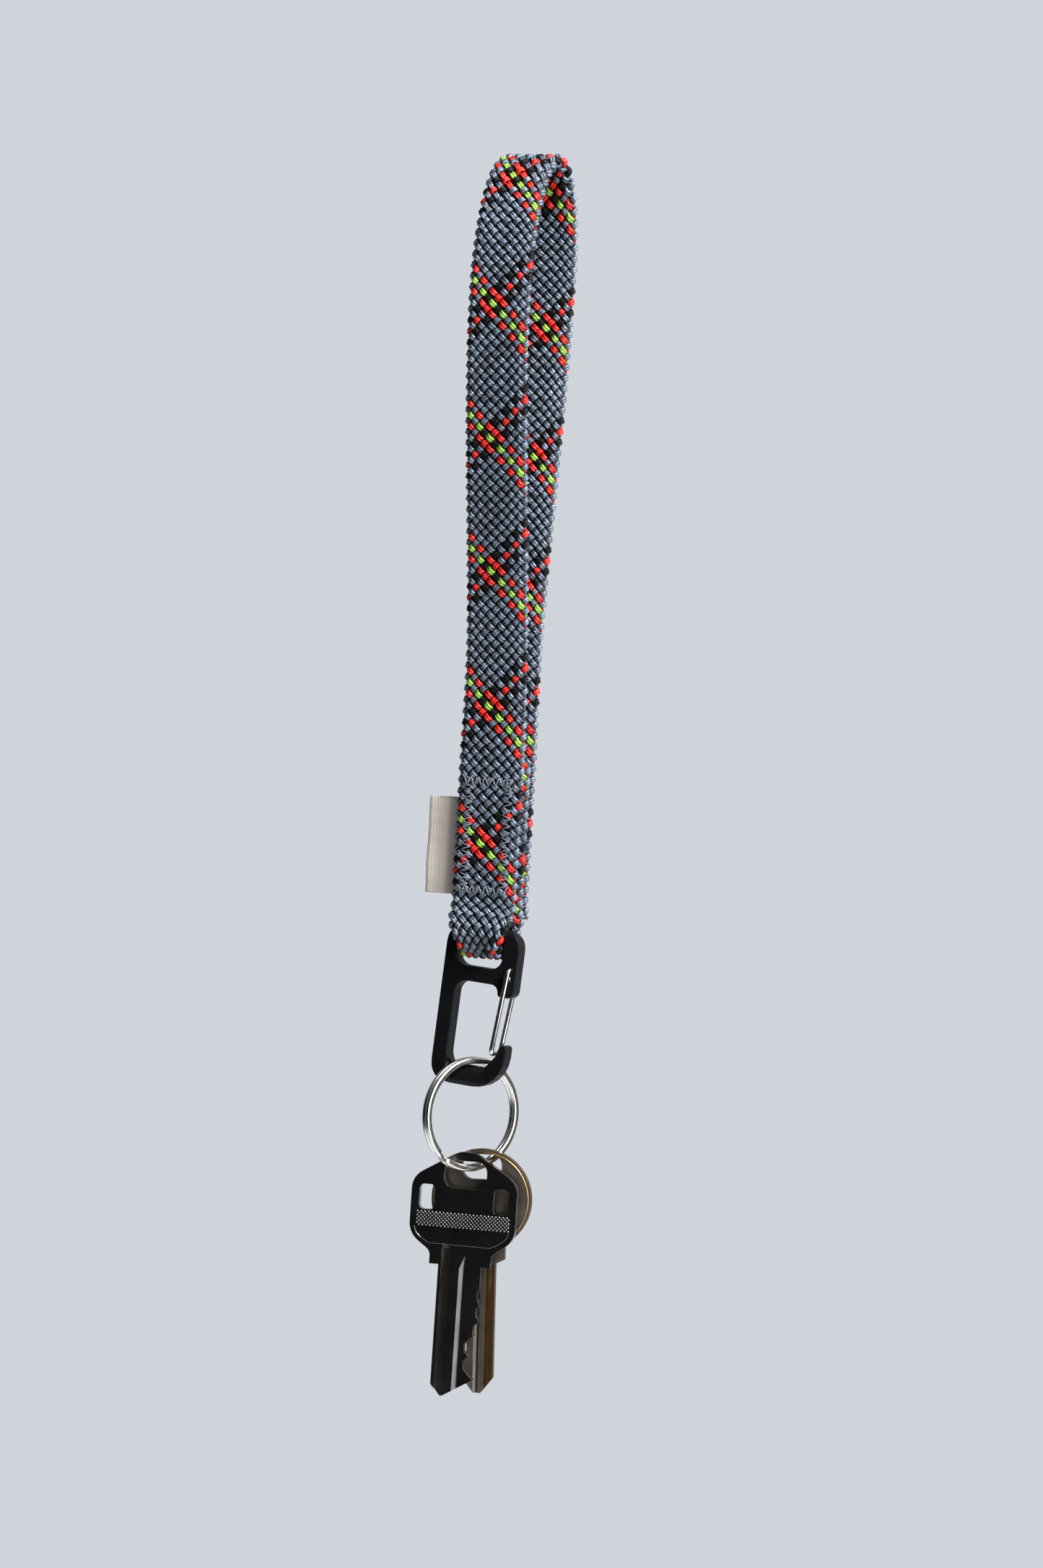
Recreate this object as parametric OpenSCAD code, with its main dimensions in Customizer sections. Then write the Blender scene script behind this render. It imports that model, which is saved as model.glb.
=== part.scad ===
// Wristlet keychain: a wrist loop of flattened rope sheath, sewn round the bar of a flat clip,
// with a wire gate, a split ring and two keys. All sizes are in millimetres.
// The origin is the hang point, on the inside of the loop's top bend. +Z is up, the strap's
// width runs along X, and the front of the loop faces -Y.

/* [Strap] */
// Width of the flattened braided tube
strap_w = 14.4; // [12:0.1:17]
// Thickness of the flattened braided tube
strap_t = 2.8; // [2.2:0.1:3.2]
// Width to which the strap is drawn in where it passes through the clip
strap_neck_w = 9.4; // [7:0.1:9.4]
// How far the front run bows forward of the hang line
loop_front = 15.2; // [11:0.1:20]
// How far the back run bows behind the hang line
loop_back = 10.6; // [8:0.1:16]
// Drop from the hang point to the widest place of the front run
front_shoulder = 30; // [22:1:40]
// Drop from the hang point to the widest place of the back run
back_shoulder = 20; // [16:1:30]
// Drop from the hang point to the place where the two runs meet
loop_len = 124; // [100:1:170]
// Length over which the layers lie flat on each other
seam_len = 39; // [34:1:60]
// How far the tail's cut end stays below the place where the runs meet
tail_inset = 8; // [4:1:10]
// How far the back run's cut end reaches below the flat layers
back_over = 3.4; // [1:0.1:4]

/* [Label] */
// How far the folded label stands out of the strap's edge
label_out = 7.9; // [3:0.1:12]
// How far the label reaches in between the layers
label_in = 6; // [3:0.1:9]
// Height of the label's tape
label_h = 21.6; // [12:0.1:24]
// Thickness of one layer of the label's tape
label_t = 0.45; // [0.3:0.05:0.6]
// Height of the label's middle above the end of the flat layers
label_rise = 11.9; // [10.8:0.1:16]

/* [Stitching] */
// Thickness of the sewing thread
thread_d = 0.35; // [0.25:0.05:0.5]
// Width of the box seam, between the middles of its columns
seam_box_w = 9.4; // [6:0.1:11]
// Height of the box seam, between the middles of its rows
seam_box_h = 24; // [16:0.5:28]
// Height of the seam's lower row above the end of the flat layers
seam_box_rise = 2.4; // [1.6:0.1:6]
// Width of one zigzag row
zigzag_w = 2.2; // [1.4:0.1:3]
// Length of one zigzag stitch pair
zigzag_pitch = 1.6; // [1.2:0.1:2.4]

/* [Clip] */
// Width of the clip's body
clip_w = 17.4; // [16:0.1:22]
// Length of the clip's body
clip_len = 35.5; // [34:0.1:48]
// Thickness of the clip's plate
clip_t = 4; // [3:0.1:4.2]
// How far the body's middle lies to the right of the strap's middle
clip_shift = 0.6; // [0:0.1:1]
// Lean of the hanging clip, bottom to the left
clip_lean = 4.5; // [0:0.5:5]
// Height of the bar that the strap goes round
bar_h = 3.2; // [2.6:0.1:3.2]
// Width of the strap slot
slot_w = 11; // [10.8:0.1:11.4]
// Height of the strap slot
slot_h = 5.8; // [5.8:0.1:7.5]
// Height of the crossbar between the slot and the clip opening
crossbar_h = 3.4; // [2.4:0.1:4]
// Width of the left rail
rail_w = 3.5; // [2.6:0.1:4]
// Height of the bottom rail that carries the ring
ring_rail_h = 4.7; // [3.6:0.1:4.8]
// Chamfer along the strap bar and the bottom rail
bar_chamfer = 1.2; // [0.9:0.05:1.3]
// Width of the block that holds the gate's pivots
block_w = 3.9; // [3.7:0.1:4.4]
// Length of that block below the crossbar
block_drop = 2.5; // [1.5:0.1:4]
// Width of the tip of the nose that the gate shuts against
nose_w = 1.6; // [1.4:0.1:2]
// Height of the nose above the bottom rail
nose_h = 5.5; // [4.8:0.1:7]
// How far the nose's inner edge runs out along the bottom rail
nose_run = 3; // [2:0.1:3.4]
// Corner radius at the top of the body
top_corner_r = 4; // [1.5:0.1:4]
// Corner radius at the lower left of the body
left_corner_r = 4.5; // [2:0.1:5]
// Corner radius at the lower right of the body
right_corner_r = 7.5; // [3:0.1:8]
// Corner radius of the clip opening, at the pivot block
inner_r = 1.6; // [0.8:0.1:1.8]
// Corner radius of the clip opening, at the left rail
rail_r = 2.5; // [1:0.1:3]
// Corner radius at the foot of the nose, inside the clip opening
nose_root_r = 2; // [1:0.1:2.4]
// Corner radius at the lower end of the strap slot
slot_foot_r = 2.6; // [1:0.1:2.8]
// Corner radius at the lower end of the pivot block
block_r = 1.7; // [0.5:0.1:1.8]

/* [Gate] */
// Thickness of the gate's wire
wire_d = 1.1; // [0.8:0.05:1.2]
// Distance of the pivot from the block's right side
pivot_in = 1.6; // [1.5:0.05:1.8]
// Height of the pivot above the block's lower end
pivot_up = 6.4; // [5:0.1:6.6]
// Distance between the gate's two pivot holes
pivot_step = 2.2; // [1.9:0.05:2.4]
// How far each bent wire end reaches into the body
pin_depth = 1.7; // [1:0.1:1.8]
// How far the gate swings open, in degrees
gate_swing = 25; // [10:1:26]

/* [Split ring] */
// Outer diameter of the ring
ring_od = 25.4; // [24:0.1:30]
// Radial thickness of the ring's wire
ring_wire = 1.5; // [1.1:0.1:1.6]
// Thickness of one turn along the ring's axis
ring_turn = 1.05; // [0.8:0.05:1.1]
// Angle between the hanging ring's plane and the strap's width
ring_yaw = 59; // [55:1:70]
// How far along the bottom rail the ring hangs, from the strap's middle
ring_place = 1.6; // [0:0.1:1.6]
// Angle over which the wire steps from one turn to the next
ring_step = 18; // [12:1:24]
// Angle of that step on the ring, from its back point over the top
ring_step_at = 222; // [190:1:226]

/* [Keys] */
// Thickness of the house key
house_t = 2.1; // [1.8:0.1:2.2]
// Thickness of the padlock key
padlock_t = 2; // [1.8:0.1:2.2]
// Distance of the house key from the ring's lowest point, towards the front
house_place = 0.2; // [0:0.1:1]
// Distance of the padlock key from the ring's lowest point, towards the back
padlock_place = 4.1; // [2:0.1:4.2]
// Turn of the hanging keys towards the right
key_yaw = 12; // [8:1:14]
// Lean of the hanging house key, bottom to the left
house_lean = 0.5; // [0:0.5:3]
// Lean of the hanging padlock key, bottom to the right
padlock_lean = 2; // [0:0.5:3]
// Width of the house key's bow
house_bow_w = 23.8; // [22:0.1:26]
// Height of the house key's bow, from its crown to the shoulder
house_bow_h = 26.3; // [24:0.1:28]
// Width of the house key's neck
house_neck_w = 13.8; // [11:0.1:15]
// Width of the house key's blade
house_blade_w = 9.6; // [8:0.1:10.4]
// Length of the house key's blade
house_blade_len = 29.2; // [26:0.1:34]
// Height of the metal above the house key's ring hole
house_web = 3.1; // [2.4:0.1:3.6]
// Width of the house key's ring hole
house_hole_w = 9.6; // [9:0.1:11]
// Height of the house key's ring hole
house_hole_h = 6.2; // [6:0.1:7]
// Width of the two windows in the house key's bow
window_w = 3.4; // [2:0.1:4]
// Height of the two windows in the house key's bow
window_h = 5.6; // [4:0.1:7]
// Diameter of the padlock key's bow
padlock_bow_d = 22.4; // [21:0.1:25]
// Length of the padlock key from its crown to its tip
padlock_len = 54.1; // [50:0.1:58]
// Width of the padlock key's blade
padlock_blade_w = 7; // [6:0.1:8]
// Height of the metal above the padlock key's ring hole
padlock_web = 1.2; // [1:0.1:2.4]
// Width of the padlock key's ring hole
padlock_hole_w = 9; // [8.6:0.1:10]
// Height of the padlock key's ring hole
padlock_hole_h = 5.6; // [5.4:0.1:6.5]
// Depth of the grooves milled along the blades
groove_depth = 0.55; // [0.3:0.05:0.65]

/* [Hidden] */
$fn = 48;

// Running clearance between pieces that move on each other
clear = 0.2;
// Room round the bottom rail for the ring, which hangs askew on it
ring_room = 0.25;
// Clearance of a wire end in its hole
pin_clear = 0.08;
// Gap between pieces that lie against each other
touch = 0.05;
// Overlap that makes a cut run clean through a face
cut = 0.5;

// Layers of the sewn part, front to back: front run, label, tail, back run
front_y = -(strap_t + 2 * label_t + 3 * touch);
tail_y = 0;
back_y = strap_t + touch;
flat_end = loop_len + seam_len;

// The strap's turn round the clip's bar, with room for the bar's corners as the clip swings
bar_corner = max(norm([clip_t / 2, bar_h / 2 - bar_chamfer]), norm([clip_t / 2 - bar_chamfer, bar_h / 2]));
bight_r = bar_corner + sin(clip_lean) * slot_w / 2 + clear;
bight_mid_r = bight_r + strap_t / 2;
bar_y = (front_y + tail_y) / 2;
// Length over which the two layers part round the bar
bar_drop = 7.2;
bar_z = -(flat_end + bar_drop);
// How far the tail, turning round the bar, pushes the back run's cut end outwards
back_flare = 1.3;
// How far above the bar the strap starts to draw in, and how far below it has done so
neck_rise = 0.6;
neck_fall = 0.6;

// Steps along each kind of bend in the strap's route
long_steps = 16;
short_steps = 8;
crown_steps = 12;

function ease(from, to, pull, steps) = [for (i = [1:steps]) let (t = i / steps, s = 1 - t)
    s * s * s * from + 3 * s * s * t * [from[0], from[1] + pull]
    + 3 * s * t * t * [to[0], to[1] - pull] + t * t * t * to];
function quarter(side, drop, rising) = [for (i = [1:crown_steps])
    let (a = rising ? 90 * i / crown_steps : 90 - 90 * i / crown_steps)
    [side * cos(a), -drop + (drop + strap_t / 2) * sin(a)]];
function half_turn(mid, r) = [for (i = [1:2 * short_steps]) let (a = 180 + 180 * i / (2 * short_steps))
    mid + r * [cos(a), sin(a)]];

// The strap's middle line, from the back run's cut end over the top and round the bar to the tail's end
back_rise = (loop_len - back_shoulder) / 3;
front_rise = (loop_len - front_shoulder) / 3;
bar_mid = [bar_y, bar_z];
route = concat(
    [[back_y + back_flare, -(flat_end + back_over)]],
    ease([back_y + back_flare, -(flat_end + back_over)], [back_y, -flat_end], back_over / 3, short_steps),
    [[back_y, -loop_len]],
    ease([back_y, -loop_len], [loop_back, -back_shoulder], back_rise, long_steps),
    quarter(loop_back, back_shoulder, true),
    quarter(-loop_front, front_shoulder, false),
    ease([-loop_front, -front_shoulder], [front_y, -loop_len], -front_rise, long_steps),
    [[front_y, -flat_end]],
    ease([front_y, -flat_end], [bar_y - bight_mid_r, bar_z], -bar_drop / 2, short_steps),
    half_turn(bar_mid, bight_mid_r),
    ease([bar_y + bight_mid_r, bar_z], [tail_y, -flat_end], bar_drop / 2, short_steps),
    [[tail_y, -(loop_len + tail_inset)]]);

function unit(v) = v / norm(v);
function heading(pts, i) = unit(pts[min(i + 1, len(pts) - 1)] - pts[max(i - 1, 0)]);
function beside(pts, d) = [for (i = [0:len(pts) - 1]) let (h = heading(pts, i)) pts[i] + d * [-h[1], h[0]]];
function backwards(list) = [for (i = [len(list) - 1:-1:0]) list[i]];
function ribbon(pts, t) = concat(beside(pts, t / 2), backwards(beside(pts, -t / 2)));

// A polygon whose rows are [x, y, corner radius]
corner_steps = 6;
function fillet(a, p, b, r) = let (
    u = unit(a - p), w = unit(b - p), half = acos(u * w) / 2,
    mid = p + unit(u + w) * r / sin(half),
    from = p + u * r / tan(half) - mid, to = p + w * r / tan(half) - mid,
    start = atan2(from[1], from[0]), raw = atan2(to[1], to[0]) - start,
    turn = raw > 180 ? raw - 360 : raw < -180 ? raw + 360 : raw)
    [for (i = [0:corner_steps]) let (a = start + turn * i / corner_steps) mid + r * [cos(a), sin(a)]];
function xy(row) = [row[0], row[1]];
function rounded(rows) = let (n = len(rows)) [for (i = [0:n - 1])
    each rows[i][2] > 0
        ? fillet(xy(rows[(i + n - 1) % n]), xy(rows[i]), xy(rows[(i + 1) % n]), rows[i][2])
        : [xy(rows[i])]];
function box_rows(x0, y0, x1, y1, r) = [[x0, y0, r], [x1, y0, r], [x1, y1, r], [x0, y1, r]];

// Stands a drawing up in the XZ plane, with its thickness along Y
module upright(t) {
    rotate([90, 0, 0]) linear_extrude(height = t, center = true) children();
}

module strap() {
    neck_top = bar_z + bar_h / 2 + neck_rise;
    neck_low = bar_z - neck_fall;
    foot = bar_z - bight_mid_r - strap_t;
    head = strap_t + cut;
    half = strap_w / 2;
    neck = strap_neck_w / 2;
    color("slategray") intersection() {
        rotate([90, 0, 90]) linear_extrude(height = strap_w + 2 * cut, center = true)
            polygon(ribbon(route, strap_t));
        upright(4 * (loop_front + loop_back)) polygon([[-half, head], [half, head], [half, neck_top],
            [neck, neck_low], [neck, foot], [-neck, foot], [-neck, neck_low], [-half, neck_top]]);
    }
}

// A folded tape: two layers joined by the fold at the outer end
module label() {
    fold_t = 2 * label_t + touch;
    left = -strap_w / 2 - label_out;
    right = -strap_w / 2 + label_in;
    label_y = (front_y + tail_y) / 2;
    color("antiquewhite") translate([0, label_y, label_rise - flat_end])
        linear_extrude(height = label_h, center = true) difference() {
            union() {
                translate([left + fold_t / 2, -fold_t / 2]) square([right - left - fold_t / 2, fold_t]);
                translate([left + fold_t / 2, 0]) circle(d = fold_t);
            }
            translate([left + fold_t / 2, -touch / 2]) square([right - left, touch]);
        }
}

// One zigzag row along X, centred, as a flat strip
module zigzag(length) {
    legs = 2 * round(length / zigzag_pitch);
    step = length / legs;
    lift = thread_d / 2 * norm([step, zigzag_w]) / step;
    line = [for (i = [0:legs]) [i * step - length / 2, (i % 2 == 0 ? -1 : 1) * zigzag_w / 2]];
    polygon(concat([for (p = line) p + [0, lift]], backwards([for (p = line) p - [0, lift]])));
}

// The box of zigzag rows, seen from the front
module seam_box() {
    for (side = [-1, 1]) {
        translate([0, side * seam_box_h / 2]) zigzag(seam_box_w + zigzag_w);
        translate([side * seam_box_w / 2, 0]) rotate(90) zigzag(seam_box_h + zigzag_w);
    }
}

module seam_at(y) {
    translate([0, y, seam_box_rise + seam_box_h / 2 - flat_end]) upright(thread_d) seam_box();
}

module needle_thread() {
    color("lightgray") seam_at(front_y - strap_t / 2 - touch - thread_d / 2);
}

module bobbin_thread() {
    color("lightgray") seam_at(back_y + strap_t / 2 + touch + thread_d / 2);
}

// The clip is drawn round the middle of its strap bar: x to the right, z up
clip_left = clip_shift - clip_w / 2;
clip_right = clip_shift + clip_w / 2;
clip_top = bar_h / 2;
clip_foot = clip_top - clip_len;
slot_foot = -bar_h / 2 - slot_h;
opening_top = slot_foot - crossbar_h;
opening_foot = clip_foot + ring_rail_h;
block_left = clip_right - block_w;
block_foot = opening_top - block_drop;
nose_top = opening_foot + nose_h;
// The nose's inner edge leans back from the tip to a bend, where the gate's foot rests,
// then slopes to the rail
nose_lean = 0.8;
nose_bend = [clip_right - nose_w - nose_lean, nose_top - 2.6];
nose_foot = clip_right - nose_w - nose_run;
pivot = [clip_right - pivot_in, block_foot + pivot_up];
leg_y = clip_t / 2 + clear + wire_d / 2;
// How far the gate's foot lies above the bend of the nose
gate_lap = 0.5;
gate_foot = [nose_bend[0] - clear - wire_d / 2, nose_bend[1] + gate_lap];

module in_clip() {
    translate([0, bar_y, bar_z]) rotate([0, clip_lean, 0]) children();
}

// A cut along X that takes the edge at [y, z] down by the bar's chamfer
module edge_cut(x0, x1, y, z) {
    side = bar_chamfer * sqrt(2);
    translate([(x0 + x1) / 2, y, z]) rotate([45, 0, 0]) cube([x1 - x0, side, side], center = true);
}

module clip_outline() {
    nose_r = 0.46 * nose_w;
    slot = slot_w / 2;
    difference() {
        polygon(rounded([[clip_left, clip_top, top_corner_r], [clip_left, clip_foot, left_corner_r],
            [clip_right, clip_foot, right_corner_r], [clip_right, nose_top, nose_r],
            [clip_right - nose_w, nose_top, nose_r], [nose_bend[0], nose_bend[1], nose_root_r],
            [nose_foot, opening_foot, nose_root_r], [clip_left + rail_w, opening_foot, rail_r],
            [clip_left + rail_w, opening_top, rail_r], [block_left, opening_top, inner_r],
            [block_left, block_foot, block_r / 2], [clip_right, block_foot, block_r],
            [clip_right, clip_top, top_corner_r]]));
        polygon(rounded([[-slot, -bar_h / 2, inner_r], [-slot, slot_foot, slot_foot_r],
            [slot, slot_foot, slot_foot_r], [slot, -bar_h / 2, inner_r]]));
    }
}

module clip_body() {
    color([0.06, 0.06, 0.065]) in_clip() difference() {
        upright(clip_t) clip_outline();
        for (y = [-clip_t / 2, clip_t / 2]) {
            edge_cut(clip_left - cut, clip_right + cut, y, clip_top);
            edge_cut(-slot_w / 2, slot_w / 2, y, -bar_h / 2);
            edge_cut(clip_left + rail_w, nose_foot, y, opening_foot);
            edge_cut(clip_left - cut, clip_right + cut, y, clip_foot);
        }
        translate([pivot[0], 0, pivot[1]]) rotate([90, 0, 0]) {
            cylinder(d = wire_d + 2 * pin_clear, h = clip_t + 2 * cut, center = true);
            for (a = [0, -gate_swing]) rotate(a) translate([0, -pivot_step, 0])
                cylinder(d = wire_d + 2 * pin_clear, h = clip_t + 2 * cut, center = true);
            rotate(-90 - gate_swing) translate([0, 0, -clip_t / 2 - cut]) rotate_extrude(angle = gate_swing)
                translate([pivot_step - wire_d / 2 - pin_clear, 0])
                    square([wire_d + 2 * pin_clear, clip_t + 2 * cut]);
        }
    }
}

// A round wire from one point to another, with a round end at each, a touch wider than the wire
module wire(a, b) {
    run = b - a;
    end_d = wire_d + touch;
    translate(a) rotate([0, acos(run[2] / norm(run)), atan2(run[1], run[0])])
        cylinder(d = wire_d, h = norm(run));
    translate(a) sphere(d = end_d);
    translate(b) sphere(d = end_d);
}

module gate_wire() {
    pin_in = clip_t / 2 - pin_depth;
    front_top = [pivot[0], -leg_y, pivot[1]];
    back_top = [pivot[0], leg_y, pivot[1] - pivot_step];
    front_foot = [gate_foot[0], -leg_y, gate_foot[1]];
    back_foot = [gate_foot[0], leg_y, gate_foot[1]];
    color("silver") in_clip() {
        wire([pivot[0], -pin_in, pivot[1]], front_top);
        wire(front_top, front_foot);
        wire(front_foot, back_foot);
        wire(back_foot, back_top);
        wire(back_top, [pivot[0], pin_in, pivot[1] - pivot_step]);
    }
}

// The ring hangs on the bottom rail, with room for the rail's corners as it swings
rail_mid = [ring_place, (opening_foot + clip_foot) / 2];
rail_corner = max(norm([clip_t / 2, ring_rail_h / 2 - bar_chamfer]),
    norm([clip_t / 2 - bar_chamfer, ring_rail_h / 2]));
ring_in_r = ring_od / 2 - ring_wire;
ring_mid_r = ring_od / 2 - ring_wire / 2;
// Gap between the ring's two turns
turn_gap = 0.08;
rail_at = [rail_mid[0] * cos(clip_lean) + rail_mid[1] * sin(clip_lean), bar_y,
    bar_z - rail_mid[0] * sin(clip_lean) + rail_mid[1] * cos(clip_lean)];
ring_at = rail_at - [0, 0, ring_in_r - rail_corner - ring_room];

// One unbroken wire of two flat turns: it steps from the first to the second where neither end lies
ring_rings = 140;
ring_end = 720 - ring_step;
wire_bevel = 0.25;
function turn_side(a) = let (t = min(1, max(0, (a - 360 + ring_step) / ring_step)))
    (t * t * (3 - 2 * t) - 0.5) * (ring_turn + turn_gap);
wire_section = let (r = ring_wire / 2, s = ring_turn / 2, b = wire_bevel)
    [[r, b - s], [r, s - b], [r - b, s], [b - r, s], [-r, s - b], [-r, b - s], [b - r, -s], [r - b, -s]];
section_sides = len(wire_section);
function ring_point(a, q) = [(ring_mid_r + q[0]) * cos(a + ring_step_at + ring_step), turn_side(a) + q[1],
    (ring_mid_r + q[0]) * sin(a + ring_step_at + ring_step)];

module split_ring() {
    points = [for (i = [0:ring_rings]) for (q = wire_section) ring_point(ring_end * i / ring_rings, q)];
    sides = [for (i = [0:ring_rings - 1]) for (j = [0:section_sides - 1])
        let (k = (j + 1) % section_sides, a = i * section_sides, b = a + section_sides)
        each [[a + j, b + j, b + k], [a + j, b + k, a + k]]];
    first = [for (j = [1:section_sides - 2]) [0, j, j + 1]];
    last_at = ring_rings * section_sides;
    last = [for (j = [1:section_sides - 2]) [last_at, last_at + j + 1, last_at + j]];
    color("gainsboro") translate(ring_at) rotate([0, 0, ring_yaw])
        polyhedron(points = points, faces = concat(sides, first, last));
}

// Each key hangs by its ring hole: the drawing's origin is the middle of the wire in the hole
// Room over the wire for each key to swing: the padlock key hangs where the ring climbs
house_hole_top = ring_wire / 2 + 0.8;
padlock_hole_top = ring_wire / 2 + 1.6;
function on_ring(along) = ring_at + [along * cos(ring_yaw), along * sin(ring_yaw),
    -sqrt(ring_mid_r * ring_mid_r - along * along)];

module key_at(along, lean) {
    translate(on_ring(along)) rotate([0, 0, key_yaw]) rotate([0, lean, 0]) children();
}

// A cut in the blade's edge, with a flat root and sloping flanks
cut_root = 1.6;
module bitting(x, top, side, pitch, depths) {
    for (i = [0:len(depths) - 1]) translate([x, top - i * pitch])
        polygon([[side * cut, cut_root / 2 + depths[i] + cut], [-side * depths[i], cut_root / 2],
            [-side * depths[i], -cut_root / 2], [side * cut, -cut_root / 2 - depths[i] - cut]]);
}

// A groove down the front of a blade: its floor slopes to the deep side, left (-1) or right (1),
// and it runs out to a point at the top, where the cutter leaves the metal
groove_wall = 0.15;
groove_point = 0.05;
module groove(x, w, top, foot, t, deep, run_out) {
    face = -t / 2;
    deep_x = x + deep * (w / 2 - groove_wall);
    hull() {
        translate([0, 0, foot]) linear_extrude(height = top - run_out - foot)
            polygon([[x - w / 2, face - cut], [x + w / 2, face - cut], [x + w / 2, face],
                [deep_x, face + groove_depth], [x - w / 2, face]]);
        translate([deep_x, face - cut / 2, top]) cube(groove_point, center = true);
    }
}

// Depths of the cuts down each blade, from the shoulder, their spacing and the first one's place
house_bits = [0.5, 0.5, 0.9, 2.6, 2.6];
padlock_bits = [0.8, 1.2, 0.7, 1];
bit_pitch = 3.9;
house_first_bit = 6.2;
padlock_first_bit = 7;

// House key: a low roof over the bow, upright sides, and a jaw that slopes in to the neck
house_crown = house_hole_top + house_web;
house_shoulder = house_crown - house_bow_h;
house_tip = house_shoulder - house_blade_len;
roof_drop = 7.3;
roof_r = 6;
brow_r = 4.5;
jaw_up = 6.4;
jaw_drop = 3.6;
jaw_r = 5;
neck_r = 2;
tip_slope = 4.4;
heel_slope = 2.6;
tip_r = 0.7;
hole_r = 2.4;
window_drop = 11.6;
window_r = 1;

module house_outline() {
    bow = house_bow_w / 2;
    neck = house_neck_w / 2;
    blade = house_blade_w / 2;
    brow = house_crown - roof_drop;
    jaw = house_shoulder + jaw_up;
    difference() {
        polygon(rounded([[0, house_crown, roof_r], [bow, brow, brow_r], [bow, jaw, jaw_r],
            [neck, jaw - jaw_drop, neck_r], [neck, house_shoulder, 0], [blade, house_shoulder, 0],
            [blade, house_tip + tip_slope, tip_r], [-blade / 2, house_tip, tip_r],
            [-blade, house_tip + heel_slope, tip_r], [-blade, house_shoulder, 0], [-neck, house_shoulder, 0],
            [-neck, jaw - jaw_drop, neck_r], [-bow, jaw, jaw_r], [-bow, brow, brow_r]]));
        polygon(rounded(box_rows(-house_hole_w / 2, house_hole_top - house_hole_h, house_hole_w / 2,
            house_hole_top, hole_r)));
        for (side = [-1, 1]) translate([side * (bow + house_hole_w / 2) / 2, house_crown - window_drop])
            polygon(rounded(box_rows(-window_w / 2, -window_h / 2, window_w / 2, window_h / 2, window_r)));
        bitting(blade, house_shoulder - house_first_bit, 1, bit_pitch, house_bits);
    }
}

// Grooves down the front of the blades: [place across, width, start above the shoulder, deep side, run out]
house_grooves = [[-3.2, 1.8, 5.2, -1, 1.5], [0.6, 1.3, 3.4, 1, 4]];
padlock_grooves = [[2.1, 1.3, 2, -1, 2], [-0.4, 1.1, 2, 1, 2]];

module house_key() {
    color([0.5, 0.5, 0.5]) key_at(-house_place, house_lean) difference() {
        upright(house_t) house_outline();
        for (g = house_grooves)
            groove(g[0], g[1], house_shoulder + g[2], house_tip - cut, house_t, g[3], g[4]);
    }
}

// Padlock key: a round bow, a short neck and a narrow blade
padlock_crown = padlock_hole_top + padlock_web;
padlock_mid = padlock_crown - padlock_bow_d / 2;
padlock_tip = padlock_crown - padlock_len;
padlock_neck_h = 3;
padlock_neck_lip = 2;
padlock_collar_h = 1;
padlock_shoulder = padlock_crown - padlock_bow_d - padlock_neck_h;
padlock_tip_slope = 3.4;
padlock_tip_w = 1.6;

// The round of the bow, from the neck's right side over the top to its left side
bow_steps = 48;
function padlock_bow(neck) = let (r = padlock_bow_d / 2, start = asin(neck / r) - 90, turn = 180 - 2 * start)
    [for (i = [0:bow_steps]) let (a = start + turn * i / bow_steps)
        [r * cos(a), padlock_mid + r * sin(a), 0]];

module padlock_outline() {
    blade = padlock_blade_w / 2;
    neck = blade + padlock_neck_lip;
    collar = padlock_shoulder + padlock_collar_h;
    slope = padlock_tip + padlock_tip_slope;
    difference() {
        polygon(rounded(concat(padlock_bow(neck), [[-neck, collar, 0], [-blade, padlock_shoulder, 0],
            [-blade, slope, tip_r], [-padlock_tip_w / 2, padlock_tip, 0], [padlock_tip_w / 2, padlock_tip, 0],
            [blade, slope, tip_r], [blade, padlock_shoulder, 0], [neck, collar, 0]])));
        polygon(rounded(box_rows(-padlock_hole_w / 2, padlock_hole_top - padlock_hole_h, padlock_hole_w / 2,
            padlock_hole_top, hole_r)));
        bitting(-blade, padlock_shoulder - padlock_first_bit, -1, bit_pitch, padlock_bits);
    }
}

module padlock_key() {
    color([0.6, 0.52, 0.36]) key_at(padlock_place, -padlock_lean) difference() {
        upright(padlock_t) padlock_outline();
        for (g = padlock_grooves)
            groove(g[0], g[1], padlock_shoulder + g[2], padlock_tip - cut, padlock_t, g[3], g[4]);
    }
}

strap();
label();
needle_thread();
bobbin_thread();
clip_body();
gate_wire();
split_ring();
house_key();
padlock_key();
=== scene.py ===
# %% [markdown]
# # A wristlet keychain
# A wrist loop of flattened rope sheath is sewn round the bar of a flat black clip.
# A split ring with two keys hangs in the clip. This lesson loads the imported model,
# which already has every size and place, and gives each piece the surface of the real one.
# All lengths are given in millimetres and turned to metres where a mesh is made.

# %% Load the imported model
import math

import bmesh
import bpy
from mathutils import Euler, Matrix, Vector


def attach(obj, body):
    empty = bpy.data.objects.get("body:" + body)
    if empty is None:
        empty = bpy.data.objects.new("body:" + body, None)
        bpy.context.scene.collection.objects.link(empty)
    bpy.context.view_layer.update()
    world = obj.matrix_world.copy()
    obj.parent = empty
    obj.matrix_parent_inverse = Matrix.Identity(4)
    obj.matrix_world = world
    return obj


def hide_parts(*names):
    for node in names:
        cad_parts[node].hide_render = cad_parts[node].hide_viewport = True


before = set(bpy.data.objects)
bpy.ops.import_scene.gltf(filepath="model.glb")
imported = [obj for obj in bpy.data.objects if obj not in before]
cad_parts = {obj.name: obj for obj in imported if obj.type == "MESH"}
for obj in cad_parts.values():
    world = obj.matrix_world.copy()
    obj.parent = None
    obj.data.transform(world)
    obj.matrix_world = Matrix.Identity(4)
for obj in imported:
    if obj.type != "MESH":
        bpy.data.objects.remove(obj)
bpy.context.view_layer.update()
MM = 0.001

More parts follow.
